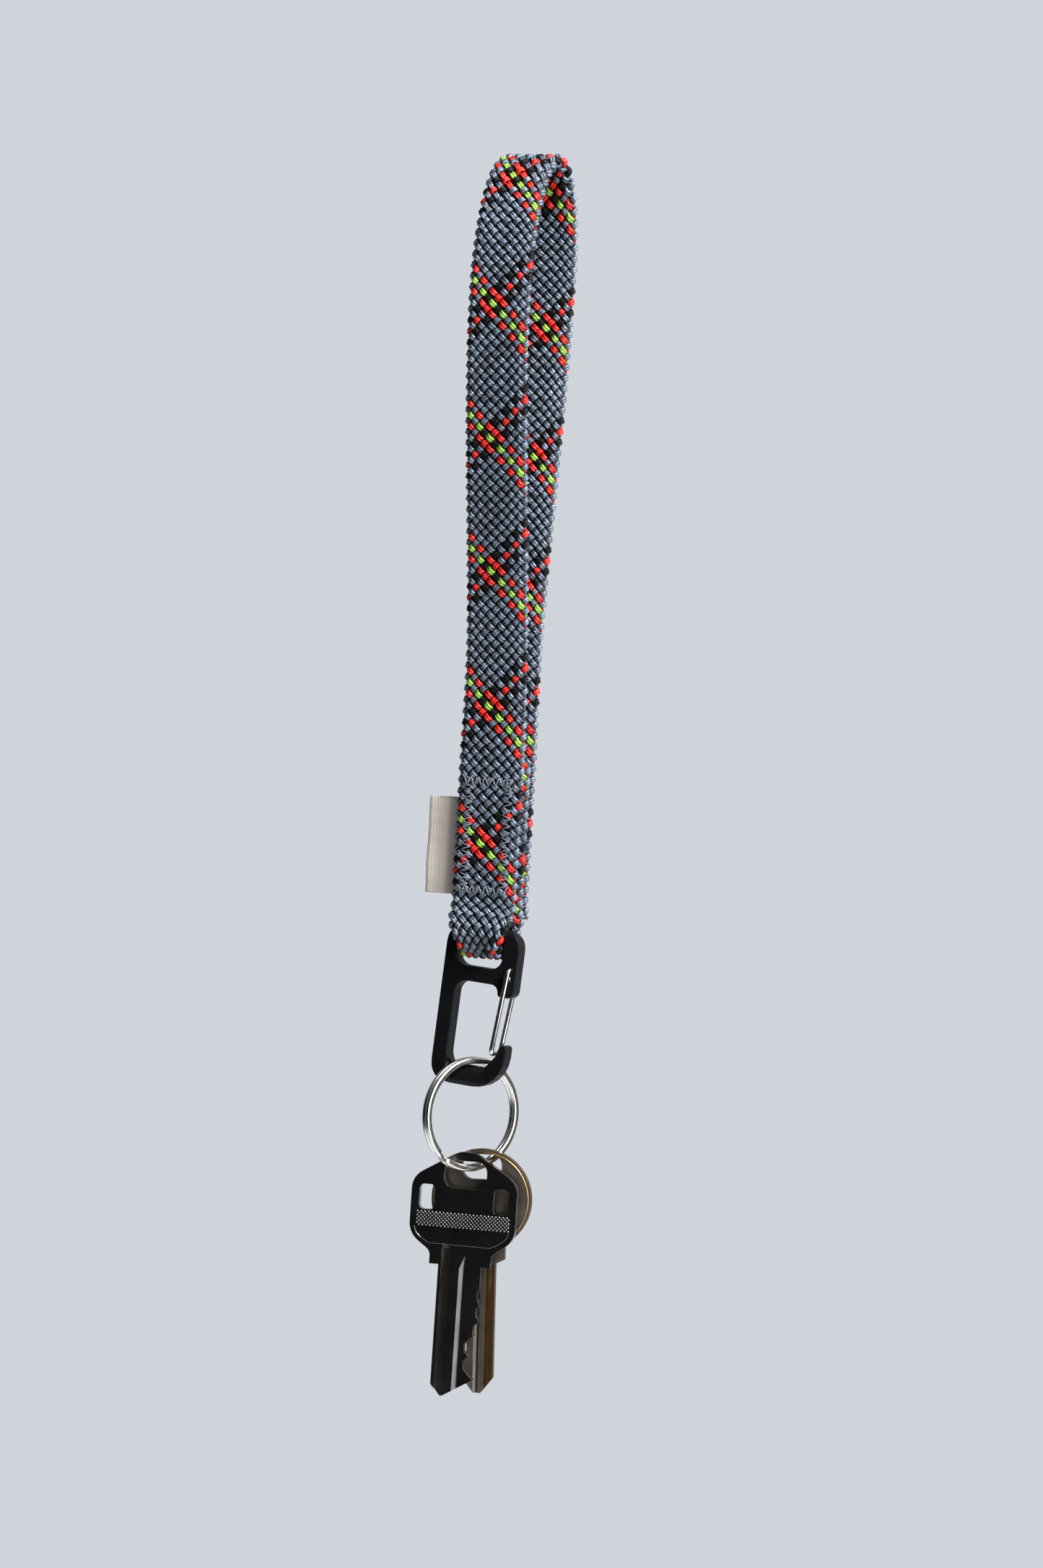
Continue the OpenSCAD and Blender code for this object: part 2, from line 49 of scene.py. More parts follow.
# %% [markdown]
# ## Sums made of nodes
# Both kinds of tree, for shapes and for finishes, need a lot of arithmetic. Drawing it by hand
# takes a box for each plus sign. A small class wraps a socket instead, so that an ordinary
# Python sum adds the Math nodes, and one function makes any other node.

# %% A socket that takes part in sums
class Sum:
    def __init__(self, tree, socket):
        self.tree = tree
        self.socket = socket

    def math(self, operation, *values):
        return node(self.tree, "ShaderNodeMath", {"operation": operation}, dict(enumerate(values)))

    def __add__(self, other):
        return self.math("ADD", self, other)

    __radd__ = __add__

    def __sub__(self, other):
        return self.math("SUBTRACT", self, other)

    def __rsub__(self, other):
        return self.math("SUBTRACT", other, self)

    def __mul__(self, other):
        return self.math("MULTIPLY", self, other)

    __rmul__ = __mul__

    def __truediv__(self, other):
        return self.math("DIVIDE", self, other)

    def __mod__(self, other):
        return self.math("FLOORED_MODULO", self, other)

    def __gt__(self, other):
        return self.math("GREATER_THAN", self, other)

    def __lt__(self, other):
        return self.math("LESS_THAN", self, other)

    def floor(self):
        return self.math("FLOOR", self)

    def fract(self):
        return self.math("FRACT", self)

    def cos(self):
        return self.math("COSINE", self)

    def sin(self):
        return self.math("SINE", self)

    def abs(self):
        return self.math("ABSOLUTE", self)

    def power(self, exponent):
        return self.math("POWER", self, exponent)

    def ripple(self):
        return self.sin() * 0.5 + 0.5


# %% One function for any node, and short names for a few kinds
MIX_A, MIX_B, MIX_RESULT = 6, 7, 2


def node(tree, kind, settings=None, sockets=None, out=0):
    made = tree.nodes.new(kind)
    for name, value in (settings or {}).items():
        if name == "stops":
            set_stops(made.color_ramp, value)
        else:
            setattr(made, name, value)
    for key, value in (sockets or {}).items():
        if isinstance(value, Sum):
            tree.links.new(value.socket, made.inputs[key])
        else:
            made.inputs[key].default_value = value
    return Sum(tree, made.outputs[out])


def other_output(value, name):
    return Sum(value.tree, value.socket.node.outputs[name])


def set_stops(ramp, stops):
    while len(ramp.elements) < len(stops):
        ramp.elements.new(1.0)
    for element, (place, colour) in zip(ramp.elements, stops):
        element.position = place
        element.color = colour


def vector_of(tree, x, y, z):
    return node(tree, "ShaderNodeCombineXYZ", {}, {"X": x, "Y": y, "Z": z})


def parts_of(value):
    split = node(value.tree, "ShaderNodeSeparateXYZ", {}, {"Vector": value})
    return [other_output(split, axis) for axis in "XYZ"]


def vector_sum(operation, a, b, out=0):
    return node(a.tree, "ShaderNodeVectorMath", {"operation": operation}, {0: a, 1: b}, out)


def scaled(vector, by):
    return node(vector.tree, "ShaderNodeVectorMath", {"operation": "SCALE"}, {0: vector, "Scale": by})


def mapped(value, low, high, at_low=0.0, at_high=1.0, smooth=True):
    settings = {"interpolation_type": "SMOOTHSTEP"} if smooth else {}
    sockets = {"Value": value, "From Min": low, "From Max": high, "To Min": at_low, "To Max": at_high}
    return node(value.tree, "ShaderNodeMapRange", settings, sockets)


def blend(tree, share, a, b):
    return node(tree, "ShaderNodeMix", {"data_type": "RGBA"}, {0: share, MIX_A: a, MIX_B: b}, MIX_RESULT)


# %% [markdown]
# ## Growing a mesh with Geometry Nodes
# A braid, a seam or a coil follows a rule along a path. Each gets a tree with named inputs,
# run on a polyline that holds the path. The result is turned into a plain mesh, because the
# pieces are exported as meshes.

# %% A tree with named inputs
SOCKET_KINDS = {float: "NodeSocketFloat", int: "NodeSocketInt", tuple: "NodeSocketVector"}


def new_tree(name, **values):
    tree = bpy.data.node_groups.new(name, "GeometryNodeTree")
    tree.interface.new_socket("Geometry", in_out="INPUT", socket_type="NodeSocketGeometry")
    tree.interface.new_socket("Geometry", in_out="OUTPUT", socket_type="NodeSocketGeometry")
    for key, value in values.items():
        kind = SOCKET_KINDS[type(value)]
        tree.interface.new_socket(key, in_out="INPUT", socket_type=kind).default_value = value
    given = tree.nodes.new("NodeGroupInput")
    return tree, {socket.name: Sum(tree, socket) for socket in given.outputs if socket.name}


def end_tree(tree, geometry, materials):
    solid = node(tree, "GeometryNodeRealizeInstances", {}, {"Geometry": geometry})
    for material, chosen in materials:
        sockets = {"Geometry": solid, "Material": material}
        if chosen is not None:
            sockets["Selection"] = chosen
        solid = node(tree, "GeometryNodeSetMaterial", {}, sockets)
    last = tree.nodes.new("NodeGroupOutput")
    tree.links.new(solid.socket, last.inputs[0])


# %% Paths, plain meshes and bodies
def add_object(name, data):
    piece = bpy.data.objects.new(name, data)
    bpy.context.scene.collection.objects.link(piece)
    return piece


def paths_mesh(name, paths, closed=False):
    points = [point for path in paths for point in path]
    edges = []
    start = 0
    for path in paths:
        edges += [(start + i, start + i + 1) for i in range(len(path) - 1)]
        if closed:
            edges.append((start + len(path) - 1, start))
        start += len(path)
    mesh = bpy.data.meshes.new(name)
    mesh.from_pydata([Vector(p) * MM for p in points], edges, [])
    return mesh


def make_plain(piece):
    graph = bpy.context.evaluated_depsgraph_get()
    mesh = bpy.data.meshes.new_from_object(piece.evaluated_get(graph), depsgraph=graph)
    old = piece.data
    piece.modifiers.clear()
    piece.data = mesh
    mesh.name = piece.name
    bpy.data.meshes.remove(old)
    print(piece.name, "has", len(mesh.polygons), "faces")


def grow(name, tree, mesh, **values):
    piece = add_object(name, mesh)
    step = piece.modifiers.new("shape", "NODES")
    step.node_group = tree
    inputs = [item for item in tree.interface.items_tree if item.in_out == "INPUT"]
    sockets = {item.name: item.identifier for item in inputs}
    for key, value in values.items():
        step[sockets[key]] = value
    make_plain(piece)
    return piece


def ride(piece, body, slot, *nodes):
    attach(piece, body)
    if nodes:
        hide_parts(*nodes)


# %% Curves and sweeps inside a tree
def curve_of(mesh):
    return node(mesh.tree, "GeometryNodeMeshToCurve", {}, {"Mesh": mesh})


def resampled(curve, count):
    return node(curve.tree, "GeometryNodeResampleCurve", {"mode": "COUNT"}, {"Curve": curve, "Count": count})


def circle(tree, radius, sides):
    return node(tree, "GeometryNodeCurvePrimitiveCircle", {}, {"Resolution": sides, "Radius": radius})


def oblong(tree, width, height):
    return node(tree, "GeometryNodeCurvePrimitiveQuadrilateral", {}, {"Width": width, "Height": height})


def rounded(curve, radius, steps, limit=False):
    sockets = {"Curve": curve, "Count": steps, "Radius": radius, "Limit Radius": limit}
    return node(curve.tree, "GeometryNodeFilletCurve", {"mode": "POLY"}, sockets)


def swept(curve, profile):
    sockets = {"Curve": curve, "Profile Curve": profile, "Fill Caps": True}
    return node(curve.tree, "GeometryNodeCurveToMesh", {}, sockets)


def moved(geometry, place):
    return node(geometry.tree, "GeometryNodeSetPosition", {}, {"Geometry": geometry, "Position": place})


def stored(geometry, name, value, domain="POINT", kind="FLOAT"):
    sockets = {"Geometry": geometry, "Name": name, "Value": value}
    settings = {"data_type": kind, "domain": domain}
    return node(geometry.tree, "GeometryNodeStoreNamedAttribute", settings, sockets)


# %% [markdown]
# ## The camera
# The loop hangs in front of the eye, turned a little so that its right edge shows, and the
# picture leans by a few degrees. A long lens from about a metre keeps the runs nearly parallel.

# %% Set up the camera
PHOTO_W, PHOTO_H = 1445, 2173
PIXELS_PER_MM = 6.25
HANG_ACROSS, HANG_DOWN = 740, 232
VIEW_TURN = math.radians(22)
VIEW_ROLL = math.radians(3.4)
CAMERA_AWAY = 950
SENSOR = 36

across = Vector((math.cos(VIEW_TURN), math.sin(VIEW_TURN), 0))
towards = Vector((math.sin(VIEW_TURN), -math.cos(VIEW_TURN), 0))
upright = Vector((0, 0, 1))
view_right = across * math.cos(VIEW_ROLL) + upright * math.sin(VIEW_ROLL)
view_up = upright * math.cos(VIEW_ROLL) - across * math.sin(VIEW_ROLL)
aim = view_right * (PHOTO_W / 2 - HANG_ACROSS) - view_up * (PHOTO_H / 2 - HANG_DOWN)
aim = aim / PIXELS_PER_MM

camera_data = bpy.data.cameras.new("camera")
camera_data.sensor_width = SENSOR
camera_data.lens = SENSOR * CAMERA_AWAY * PIXELS_PER_MM / PHOTO_H
camera = add_object("camera", camera_data)
turn = Matrix((view_right, view_up, towards)).transposed().to_4x4()
camera.matrix_world = Matrix.Translation((aim + towards * CAMERA_AWAY) * MM) @ turn
bpy.context.scene.camera = camera
print("lens", round(camera_data.lens, 1), "mm")

# %% [markdown]
# ## Light
# A tall soft lamp stands to the right, like a window, and a small one hangs above it for the glints
# on the yarn. What the metal mirrors matters as much as the light: the room in front is dim, so
# polished keys look dark, and the pale backdrop draws bright lines along their edges.

# %% Lamps
def add_lamp(name, side, height, near, wide, tall, power):
    lamp = bpy.data.lights.new(name, "AREA")
    lamp.shape = "RECTANGLE"
    lamp.size = wide * MM
    lamp.size_y = tall * MM
    lamp.energy = power
    place = aim + across * side + upright * height + towards * near
    stand = add_object(name, lamp)
    stand.location = place * MM
    stand.rotation_euler = (aim - place).to_track_quat("-Z", "Y").to_euler()
    print(name, "of", power, "W")


add_lamp("window_lamp", side=640, height=300, near=700, wide=600, tall=1300, power=18)
add_lamp("glint_lamp", side=560, height=640, near=480, wide=180, tall=180, power=20)

# %% The room that the metal mirrors, and the backdrop that the eye sees
BACKDROP_COLOUR = (0.63, 0.66, 0.705, 1)
BACKDROP_GLOW = (0.4, 0.41, 0.43, 1)
ROOM_GLOW = [(0.0, (0.07, 0.07, 0.075, 1)), (0.42, (0.01, 0.01, 0.011, 1)),
             (0.6, (0.011, 0.011, 0.013, 1)), (0.85, (0.1, 0.103, 0.108, 1))]
BEHIND_FROM, BEHIND_FULL = -0.15, -0.6

world = bpy.data.worlds.new("room")
bpy.context.scene.world = world
world.use_nodes = True
room = world.node_tree
room.nodes.clear()
direction = node(room, "ShaderNodeTexCoord")
height = parts_of(direction)[2]
room_glow = node(room, "ShaderNodeValToRGB", {"stops": ROOM_GLOW}, {"Fac": height * 0.5 + 0.5})
facing_room = vector_sum("DOT_PRODUCT", direction, towards, "Value")
behind = mapped(facing_room, BEHIND_FROM, BEHIND_FULL)
glow = blend(room, behind, room_glow, BACKDROP_GLOW)
mirrored = node(room, "ShaderNodeBackground", {}, {"Color": glow})
backdrop = node(room, "ShaderNodeBackground", {}, {"Color": BACKDROP_COLOUR})
seen = node(room, "ShaderNodeLightPath")
mixed = node(room, "ShaderNodeMixShader", {}, {0: seen, 1: mirrored, 2: backdrop})
sky = room.nodes.new("ShaderNodeOutputWorld")
room.links.new(mixed.socket, sky.inputs["Surface"])
bpy.context.scene.view_settings.view_transform = "Standard"
print("room nodes:", len(room.nodes))

# %% [markdown]
# ## Finishes
# Every finish starts from the same shader. What varies over a surface goes into colour,
# roughness or the bump, and everything else is set once.

# %% Helpers for finishes
def new_finish(name, **constants):
    material = bpy.data.materials.new(name)
    material.use_nodes = True
    shader = material.node_tree.nodes["Principled BSDF"]
    for key, value in constants.items():
        shader.inputs[key.replace("_", " ")].default_value = value
    return material, material.node_tree, shader


def feed(shader, key, value):
    value.tree.links.new(value.socket, shader.inputs[key])


def noise(tree, place, scale, detail=2.0, rough=0.5):
    sockets = {"Vector": place, "Scale": scale, "Detail": detail, "Roughness": rough}
    return node(tree, "ShaderNodeTexNoise", {}, sockets)


def object_place(tree):
    return other_output(node(tree, "ShaderNodeTexCoord"), "Object")


def bump(tree, height, strength, depth):
    sockets = {"Height": height, "Strength": strength, "Distance": depth * MM}
    return node(tree, "ShaderNodeBump", {}, sockets)


def grey_ramp(tree, value, *stops):
    greys = [(place, (grey, grey, grey, 1)) for place, grey in stops]
    return node(tree, "ShaderNodeValToRGB", {"stops": greys}, {"Fac": value})


def attribute(tree, name, out):
    return other_output(node(tree, "ShaderNodeAttribute", {"attribute_name": name}), out)


# %% [markdown]
# ## The floor
# The piece hangs free, so the floor lies far below it and only sends back a little light.
# A plain disc is enough for that.

# %% Floor
FLOOR_DROP, FLOOR_RADIUS, FLOOR_SIDES = 520, 600, 96
FLOOR_DARK, FLOOR_LIGHT = (0.6, 0.62, 0.65, 1), (0.68, 0.7, 0.72, 1)

floor_mesh = bpy.data.meshes.new("floor")
disc = bmesh.new()
bmesh.ops.create_circle(disc, cap_ends=True, segments=FLOOR_SIDES, radius=FLOOR_RADIUS * MM)
disc.to_mesh(floor_mesh)
disc.free()
floor_mesh.transform(Matrix.Translation((0, 0, -FLOOR_DROP * MM)))
floor = add_object("floor", floor_mesh)

floor_finish, floor_tree, floor_shader = new_finish("pale_floor", Roughness=0.9)
floor_tint = noise(floor_tree, object_place(floor_tree), scale=8.0)
feed(floor_shader, "Base Color", blend(floor_tree, floor_tint, FLOOR_DARK, FLOOR_LIGHT))
floor_mesh.materials.append(floor_finish)
print("floor", FLOOR_DROP, "mm below the hang point")

# %% [markdown]
# ## Yarn
# Each strand of the braid is a pair of twisted polyester yarns. The grey ones are spun from
# paler and darker fibres, so their colour runs in short streaks along the yarn. A picture of yarn
# would slip at the bends. The braid's tree leaves four attributes on its mesh instead: the way
# along the strap, the place round the yarn, the strand's number, and the height in the weave. Twist
# and streaks are sums of these. What lies low, where a yarn dives under the strands that cross it,
# is painted towards the dark colour as painted shade, and what lies high is more polished.

# %% Yarn finishes
PLIES, PLY_LENGTH = 3, 1.6
FIBRE_ROUND, FIBRE_ALONG, STRAND_SHIFT = 3.0, 0.55, 7.3
PATCH_SHARE, FIBRE_SHARE = 0.4, 0.6
FULL_SHADE_BELOW = 0.55
YARN_ROUGH, FIBRE_ROUGH, CREST_POLISH = 0.55, 0.2, 0.3


def yarn_finish(name, dark, light, streak, shine):
    material, tree, shader = new_finish(name, Specular_IOR_Level=shine)
    x, y, _ = parts_of(attribute(tree, "around", "Vector"))
    along = attribute(tree, "along", "Fac")
    strand_number = attribute(tree, "strand", "Fac")
    turned = y.math("ARCTAN2", y, x) + along * (2 * math.pi / PLY_LENGTH)
    ply = (turned * PLIES).ripple()
    fibre_along = along * FIBRE_ALONG + strand_number * STRAND_SHIFT
    fibre_place = vector_of(tree, turned.cos() * FIBRE_ROUND, turned.sin() * FIBRE_ROUND, fibre_along)
    fibre = noise(tree, fibre_place, scale=1.6, detail=3.0, rough=0.6)
    patch = noise(tree, object_place(tree), scale=330.0)
    pale = patch * PATCH_SHARE + fibre * FIBRE_SHARE
    share = grey_ramp(tree, pale, (0.5 - streak, 0.0), (0.5 + streak, 1.0))
    # Painted shade: yarn that lies low in the weave is darkened towards the dark colour, and the same mask
    # polishes the crests.
    crest = grey_ramp(tree, attribute(tree, "crest", "Fac") * 0.5 + 0.5, (FULL_SHADE_BELOW, 0.0), (1.0, 1.0))
    worn = blend(tree, share, dark, light)
    feed(shader, "Base Color", blend(tree, crest, dark, worn))
    feed(shader, "Roughness", YARN_ROUGH + fibre * FIBRE_ROUGH - crest * CREST_POLISH)
    feed(shader, "Normal", bump(tree, ply * 0.5 + fibre * 0.5, strength=0.55, depth=0.14))
    print("finish", name)
    return material


grey_yarn = yarn_finish("grey_yarn", dark=(0.006, 0.0085, 0.0135, 1), light=(0.16, 0.215, 0.305, 1),
                        streak=0.16, shine=0.9)
red_yarn = yarn_finish("red_yarn", dark=(0.36, 0.004, 0.003, 1), light=(0.86, 0.03, 0.02, 1),
                       streak=0.3, shine=0.4)
lime_yarn = yarn_finish("lime_yarn", dark=(0.12, 0.28, 0.02, 1), light=(0.36, 0.62, 0.1, 1),
                        streak=0.3, shine=0.4)
black_yarn = yarn_finish("black_yarn", dark=(0.003, 0.003, 0.004, 1), light=(0.008, 0.008, 0.009, 1),
                         streak=0.3, shine=0.15)

# %% [markdown]
# ## The strap's route
# The strap is one length. It starts at the cut end behind the clip, runs up the back, over the
# top, down the front, round the clip's bar, and ends as a tail between the two runs.
# The route is a line in the YZ plane, so it could be drawn by hand, but the model's own rule
# for it is short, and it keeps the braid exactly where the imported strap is.

# %% Curves that the route is made of
STRAP_T = 2.8


def ease(start, end, pull, steps):
    points = []
    for i in range(1, steps + 1):
        t = i / steps
        s = 1 - t
        parts = [(s ** 3, start), (3 * s * s * t, (start[0], start[1] + pull))]
        parts += [(3 * s * t * t, (end[0], end[1] - pull)), (t ** 3, end)]
        points.append(tuple(sum(w * p[k] for w, p in parts) for k in (0, 1)))
    return points


def quarter(side, drop, first, last, steps):
    angles = [math.radians(first + (last - first) * i / steps) for i in range(1, steps + 1)]
    return [(side * math.cos(a), -drop + (drop + STRAP_T / 2) * math.sin(a)) for a in angles]


def half_turn(y, z, r, steps):
    angles = [math.pi + math.pi * i / steps for i in range(1, steps + 1)]
    return [(y + r * math.cos(a), z + r * math.sin(a)) for a in angles]


# %% Points of the route
FRONT_Y, TAIL_Y, BACK_Y = -3.85, 0.0, 2.85
LOOP_FRONT, LOOP_BACK = 15.2, 10.6
FRONT_SHOULDER, BACK_SHOULDER = 30, 20
LOOP_LEN = 124
FLAT_END = 163
TAIL_END = 132
BACK_OVER, BACK_FLARE = 3.4, 1.3
BAR_Y, BAR_Z, BAR_DROP = -1.925, -170.2, 7.2
BIGHT_R = 4.071
STEPS = 48

cut_end = (BACK_Y + BACK_FLARE, -(FLAT_END + BACK_OVER))
front_rise = (LOOP_LEN - FRONT_SHOULDER) / 3
back_rise = (LOOP_LEN - BACK_SHOULDER) / 3
route = [cut_end]
route += ease(cut_end, (BACK_Y, -FLAT_END), BACK_OVER / 3, STEPS // 4)
route += ease((BACK_Y, -FLAT_END), (BACK_Y, -LOOP_LEN), (FLAT_END - LOOP_LEN) / 3, STEPS)
route += ease((BACK_Y, -LOOP_LEN), (LOOP_BACK, -BACK_SHOULDER), back_rise, STEPS)
route += quarter(LOOP_BACK, BACK_SHOULDER, 0, 90, STEPS)
route += quarter(-LOOP_FRONT, FRONT_SHOULDER, 90, 0, STEPS)
route += ease((-LOOP_FRONT, -FRONT_SHOULDER), (FRONT_Y, -LOOP_LEN), -front_rise, STEPS)
route += ease((FRONT_Y, -LOOP_LEN), (FRONT_Y, -FLAT_END), (LOOP_LEN - FLAT_END) / 3, STEPS)
route += ease((FRONT_Y, -FLAT_END), (BAR_Y - BIGHT_R, BAR_Z), -BAR_DROP / 2, STEPS // 2)
route += half_turn(BAR_Y, BAR_Z, BIGHT_R, STEPS)
route += ease((BAR_Y + BIGHT_R, BAR_Z), (TAIL_Y, -FLAT_END), BAR_DROP / 2, STEPS // 2)
route += ease((TAIL_Y, -FLAT_END), (TAIL_Y, -TAIL_END), (FLAT_END - TAIL_END) / 3, STEPS)
route_points = [Vector((0, y, z)) for y, z in route]
route_len = sum((b - a).length for a, b in zip(route_points, route_points[1:]))
print("strap length", round(route_len, 1), "mm")

# %% [markdown]
# ## The braid
# Twelve strands wind one way round the flattened tube and twelve the other way, each going
# over one and under the next. A bump map on a plain strap looks printed, so every yarn is a real tube.
# Its place is a sum: the distance along the strap gives a point on the route, the turn gives a point
# on the flat oval section, and a cosine lifts it over and under the strands that it crosses.

# %% The braid's tree and its yarns
STRANDS, WAYS, YARNS_EACH = 12, 2, 2
SHEATH_W, SHEATH_T = 12.7, 1.0
TWIST_LENGTH = 29.25
YARN_R, YARN_GAP, YARN_STEP = 0.39, 0.64, 0.3
RISE = 0.7
CROWDING = 0.18
FIRST_AT, TOP_SLIP = -4.4, 7.3
NECK_W, PRESS = 9.4, 0.07

braid, given = new_tree(
    "braided_sheath", Width=SHEATH_W * MM, Thickness=SHEATH_T * MM, Strands=STRANDS, Twist=TWIST_LENGTH * MM,
    Yarn=YARN_R * MM, Gap=YARN_GAP * MM, Rise=RISE * MM, From=0.0, To=0.1, Step=YARN_STEP * MM,
    Neck=NECK_W / (SHEATH_W + 2 * YARN_R) / (1 + PRESS), Start=FIRST_AT * MM, Slip=TOP_SLIP * MM,
    Crowding=CROWDING)
path = curve_of(given["Geometry"])
rings = ((given["To"] - given["From"]) / given["Step"]).floor() + 2.0
line = resampled(node(braid, "GeometryNodeCurvePrimitiveLine"), rings)
yarns = node(braid, "GeometryNodeDuplicateElements", {"domain": "SPLINE"},
             {"Geometry": line, "Amount": given["Strands"] * (WAYS * YARNS_EACH)})
number = other_output(yarns, "Duplicate Index")
strand = (number / YARNS_EACH).floor()
side = number % YARNS_EACH - 0.5
way = (strand > given["Strands"] - 0.5) * 2.0 - 1.0

# %% [markdown]
# ### Slips and crowding
# A sheath that is handled doesn't stay even. The pattern slips along the strap over the top bend and
# again between the seam and the clip's bar, and the strands lie closer together at the two edges of
# the flat tube.

# %% Where each yarn is round the tube
TOP_FROM, TOP_TO = 150, 190
FOLD_SLIP, FOLD_FROM, FOLD_TO = -2.6, 280, 352
OVAL_STEPS, NEARLY_HALF = 8, 0.499
TWO_WAVES = 4 * math.pi

share = node(braid, "GeometryNodeSplineParameter")
along = given["From"] + share * (given["To"] - given["From"])
top_slip = mapped(along, TOP_FROM * MM, TOP_TO * MM, given["Slip"], 0.0)
fold_slip = mapped(along, FOLD_FROM * MM, FOLD_TO * MM, 0.0, FOLD_SLIP * MM, smooth=False)
laid = along + given["Start"] + top_slip + fold_slip
girth = (given["Width"] - given["Thickness"]) * 2.0 + given["Thickness"] * math.pi
shift = side * given["Gap"]
round_place = (strand / given["Strands"] + way * laid / given["Twist"] + shift / girth).fract()
crowded = round_place - (round_place * TWO_WAVES).sin() * (given["Crowding"] / TWO_WAVES)
flat_tube = oblong(braid, given["Width"], given["Thickness"])
oval = rounded(flat_tube, given["Thickness"] * NEARLY_HALF, OVAL_STEPS)
on_oval = node(braid, "GeometryNodeSampleCurve", {"mode": "FACTOR"}, {"Curves": oval, "Factor": crowded}, 1)
oval_x, oval_y, _ = parts_of(on_oval)
run_x, run_y, _ = parts_of(other_output(on_oval, "Tangent"))

# %% [markdown]
# ### Width
# The strap is drawn in where it passes the clip's slot, and the sewn part is pressed a little wider.
# Both depend on the height alone, so one factor on the width does for both runs and the tail.

# %% Where each yarn is in space
NECK_TOP, NECK_LOW = -166.5, -173.5
PRESS_TOP, PRESS_LOW = -100, -132


def narrowed(z):
    neck = mapped(z, NECK_LOW * MM, NECK_TOP * MM, given["Neck"], 1.0)
    return neck * mapped(z, PRESS_LOW * MM, PRESS_TOP * MM, 1.0 + PRESS, 1.0)


on_path = node(braid, "GeometryNodeSampleCurve", {"mode": "LENGTH"}, {"Curves": path, "Length": along}, 1)
outward = vector_sum("CROSS_PRODUCT", other_output(on_path, "Tangent"), (1, 0, 0))
wave_at = laid + way * shift * given["Twist"] / (girth * 2.0)
wave = (wave_at * (2 * math.pi) * given["Strands"] / given["Twist"]).cos() * way
lift = wave * given["Rise"]
narrow = narrowed(parts_of(on_path)[2])
place = vector_sum("ADD", on_path, vector_of(braid, oval_x * narrow + lift * run_y, 0.0, 0.0))
place = vector_sum("ADD", place, scaled(outward, oval_y - lift * run_x))

# %% [markdown]
# ### Tubes and the painted shade strip inside
# Each yarn is a thin tube that swells where it lies high. Light would fall through the gaps between
# the yarns, as it doesn't in a real sheath, so a thin black strip runs inside the tube of the braid
# as painted shade for its dark hollow inside.

# %% Yarns as tubes, with the painted shade strip inside
YARN_SIDES = 6
PLUMP, SWELL = 1.05, 0.2
OVERLAP, END_TAPER = 1.0, 0.8
INNER_T, INNER_INSET = 0.4, 2.4
TRIM_START, TRIM_END = 4, 5
RED_ONE, LIME, RED_TWO = 4, 5, 6
BLACK_ONE, RED_THREE, BLACK_TWO = 13, 14, 15

from_end = (0.5 - (share - 0.5).abs()) * (given["To"] - given["From"])
taper = mapped(from_end, 0.0, OVERLAP / 2 * MM, END_TAPER, 1.0, smooth=False)
swollen = (PLUMP + wave * SWELL) * taper
yarns = node(braid, "GeometryNodeSetCurveRadius", {}, {"Curve": yarns, "Radius": swollen})
yarns = stored(yarns, "strand", strand, "CURVE")
yarns = stored(yarns, "along", along * (1 / MM))
# The height in the weave, which the yarn finishes turn into painted shade where the yarn lies low.
yarns = stored(yarns, "crest", wave)
yarns = moved(yarns, place)
around = scaled(node(braid, "GeometryNodeInputPosition"), 1 / (YARN_R * MM))
profile = stored(circle(braid, given["Yarn"], YARN_SIDES), "around", around, kind="FLOAT_VECTOR")
tubes = swept(yarns, profile)

inner = node(braid, "GeometryNodeTrimCurve", {"mode": "LENGTH"},
             {"Curve": path, TRIM_START: given["From"], TRIM_END: given["To"]})
inner_z = parts_of(node(braid, "GeometryNodeInputPosition"))[2]
inner = node(braid, "GeometryNodeSetCurveRadius", {}, {"Curve": inner, "Radius": narrowed(inner_z)})
# The strip takes the black yarn's colour: painted shade for the hollow inside the sheath.
inner = stored(inner, "strand", float(BLACK_ONE), "CURVE")
strip = swept(inner, oblong(braid, given["Width"] - INNER_INSET * MM, INNER_T * MM))
both = braid.nodes.new("GeometryNodeJoinGeometry")
for part in (tubes, strip):
    braid.links.new(part.socket, both.inputs[0])

# %% Colours of the strands
COLOURED = ((red_yarn, RED_ONE), (lime_yarn, LIME), (red_yarn, RED_TWO),
            (black_yarn, BLACK_ONE), (red_yarn, RED_THREE), (black_yarn, BLACK_TWO))
which = node(braid, "GeometryNodeInputNamedAttribute", {"data_type": "FLOAT"}, {"Name": "strand"})


def strand_is(wanted):
    return (which > wanted - 0.5) * (which < wanted + 0.5)


colours = [(grey_yarn, None)] + [(yarn, strand_is(wanted)) for yarn, wanted in COLOURED]
end_tree(braid, Sum(braid, both.outputs[0]), colours)
print("braid nodes:", len(braid.nodes))

# %% [markdown]
# ### Five lengths
# One mesh of the whole braid would be very heavy, so the strap is grown in five lengths. They overlap
# by a millimetre, and the yarns taper there, so that the joins don't show.

# %% Grow the braid in lengths, each a piece of its own
BRAID_PIECES = ("braid_back_low", "braid_back_high", "braid_front_high", "braid_front_low", "braid_turn")
length = route_len / len(BRAID_PIECES)
for i, name in enumerate(BRAID_PIECES):
    end = min((i + 1) * length + OVERLAP, route_len)
    piece = grow(name, braid, paths_mesh(name, [route_points]), From=i * length * MM, To=end * MM)
    ride(piece, "strap", "braid", "strap")

# %% [markdown]
# ## Zigzag seams
# The layers are sewn through with a box of zigzag stitches, in a thread much thinner than the yarn.
# A stitch lies on top of the braid and dives into it at both ends. One tree turns straight rows
# into such a thread, and the front and the back of the seam use it with another facing.

# %% Thread finish
THREAD_DARK, THREAD_LIGHT = (0.09, 0.11, 0.14, 1), (0.22, 0.25, 0.3, 1)

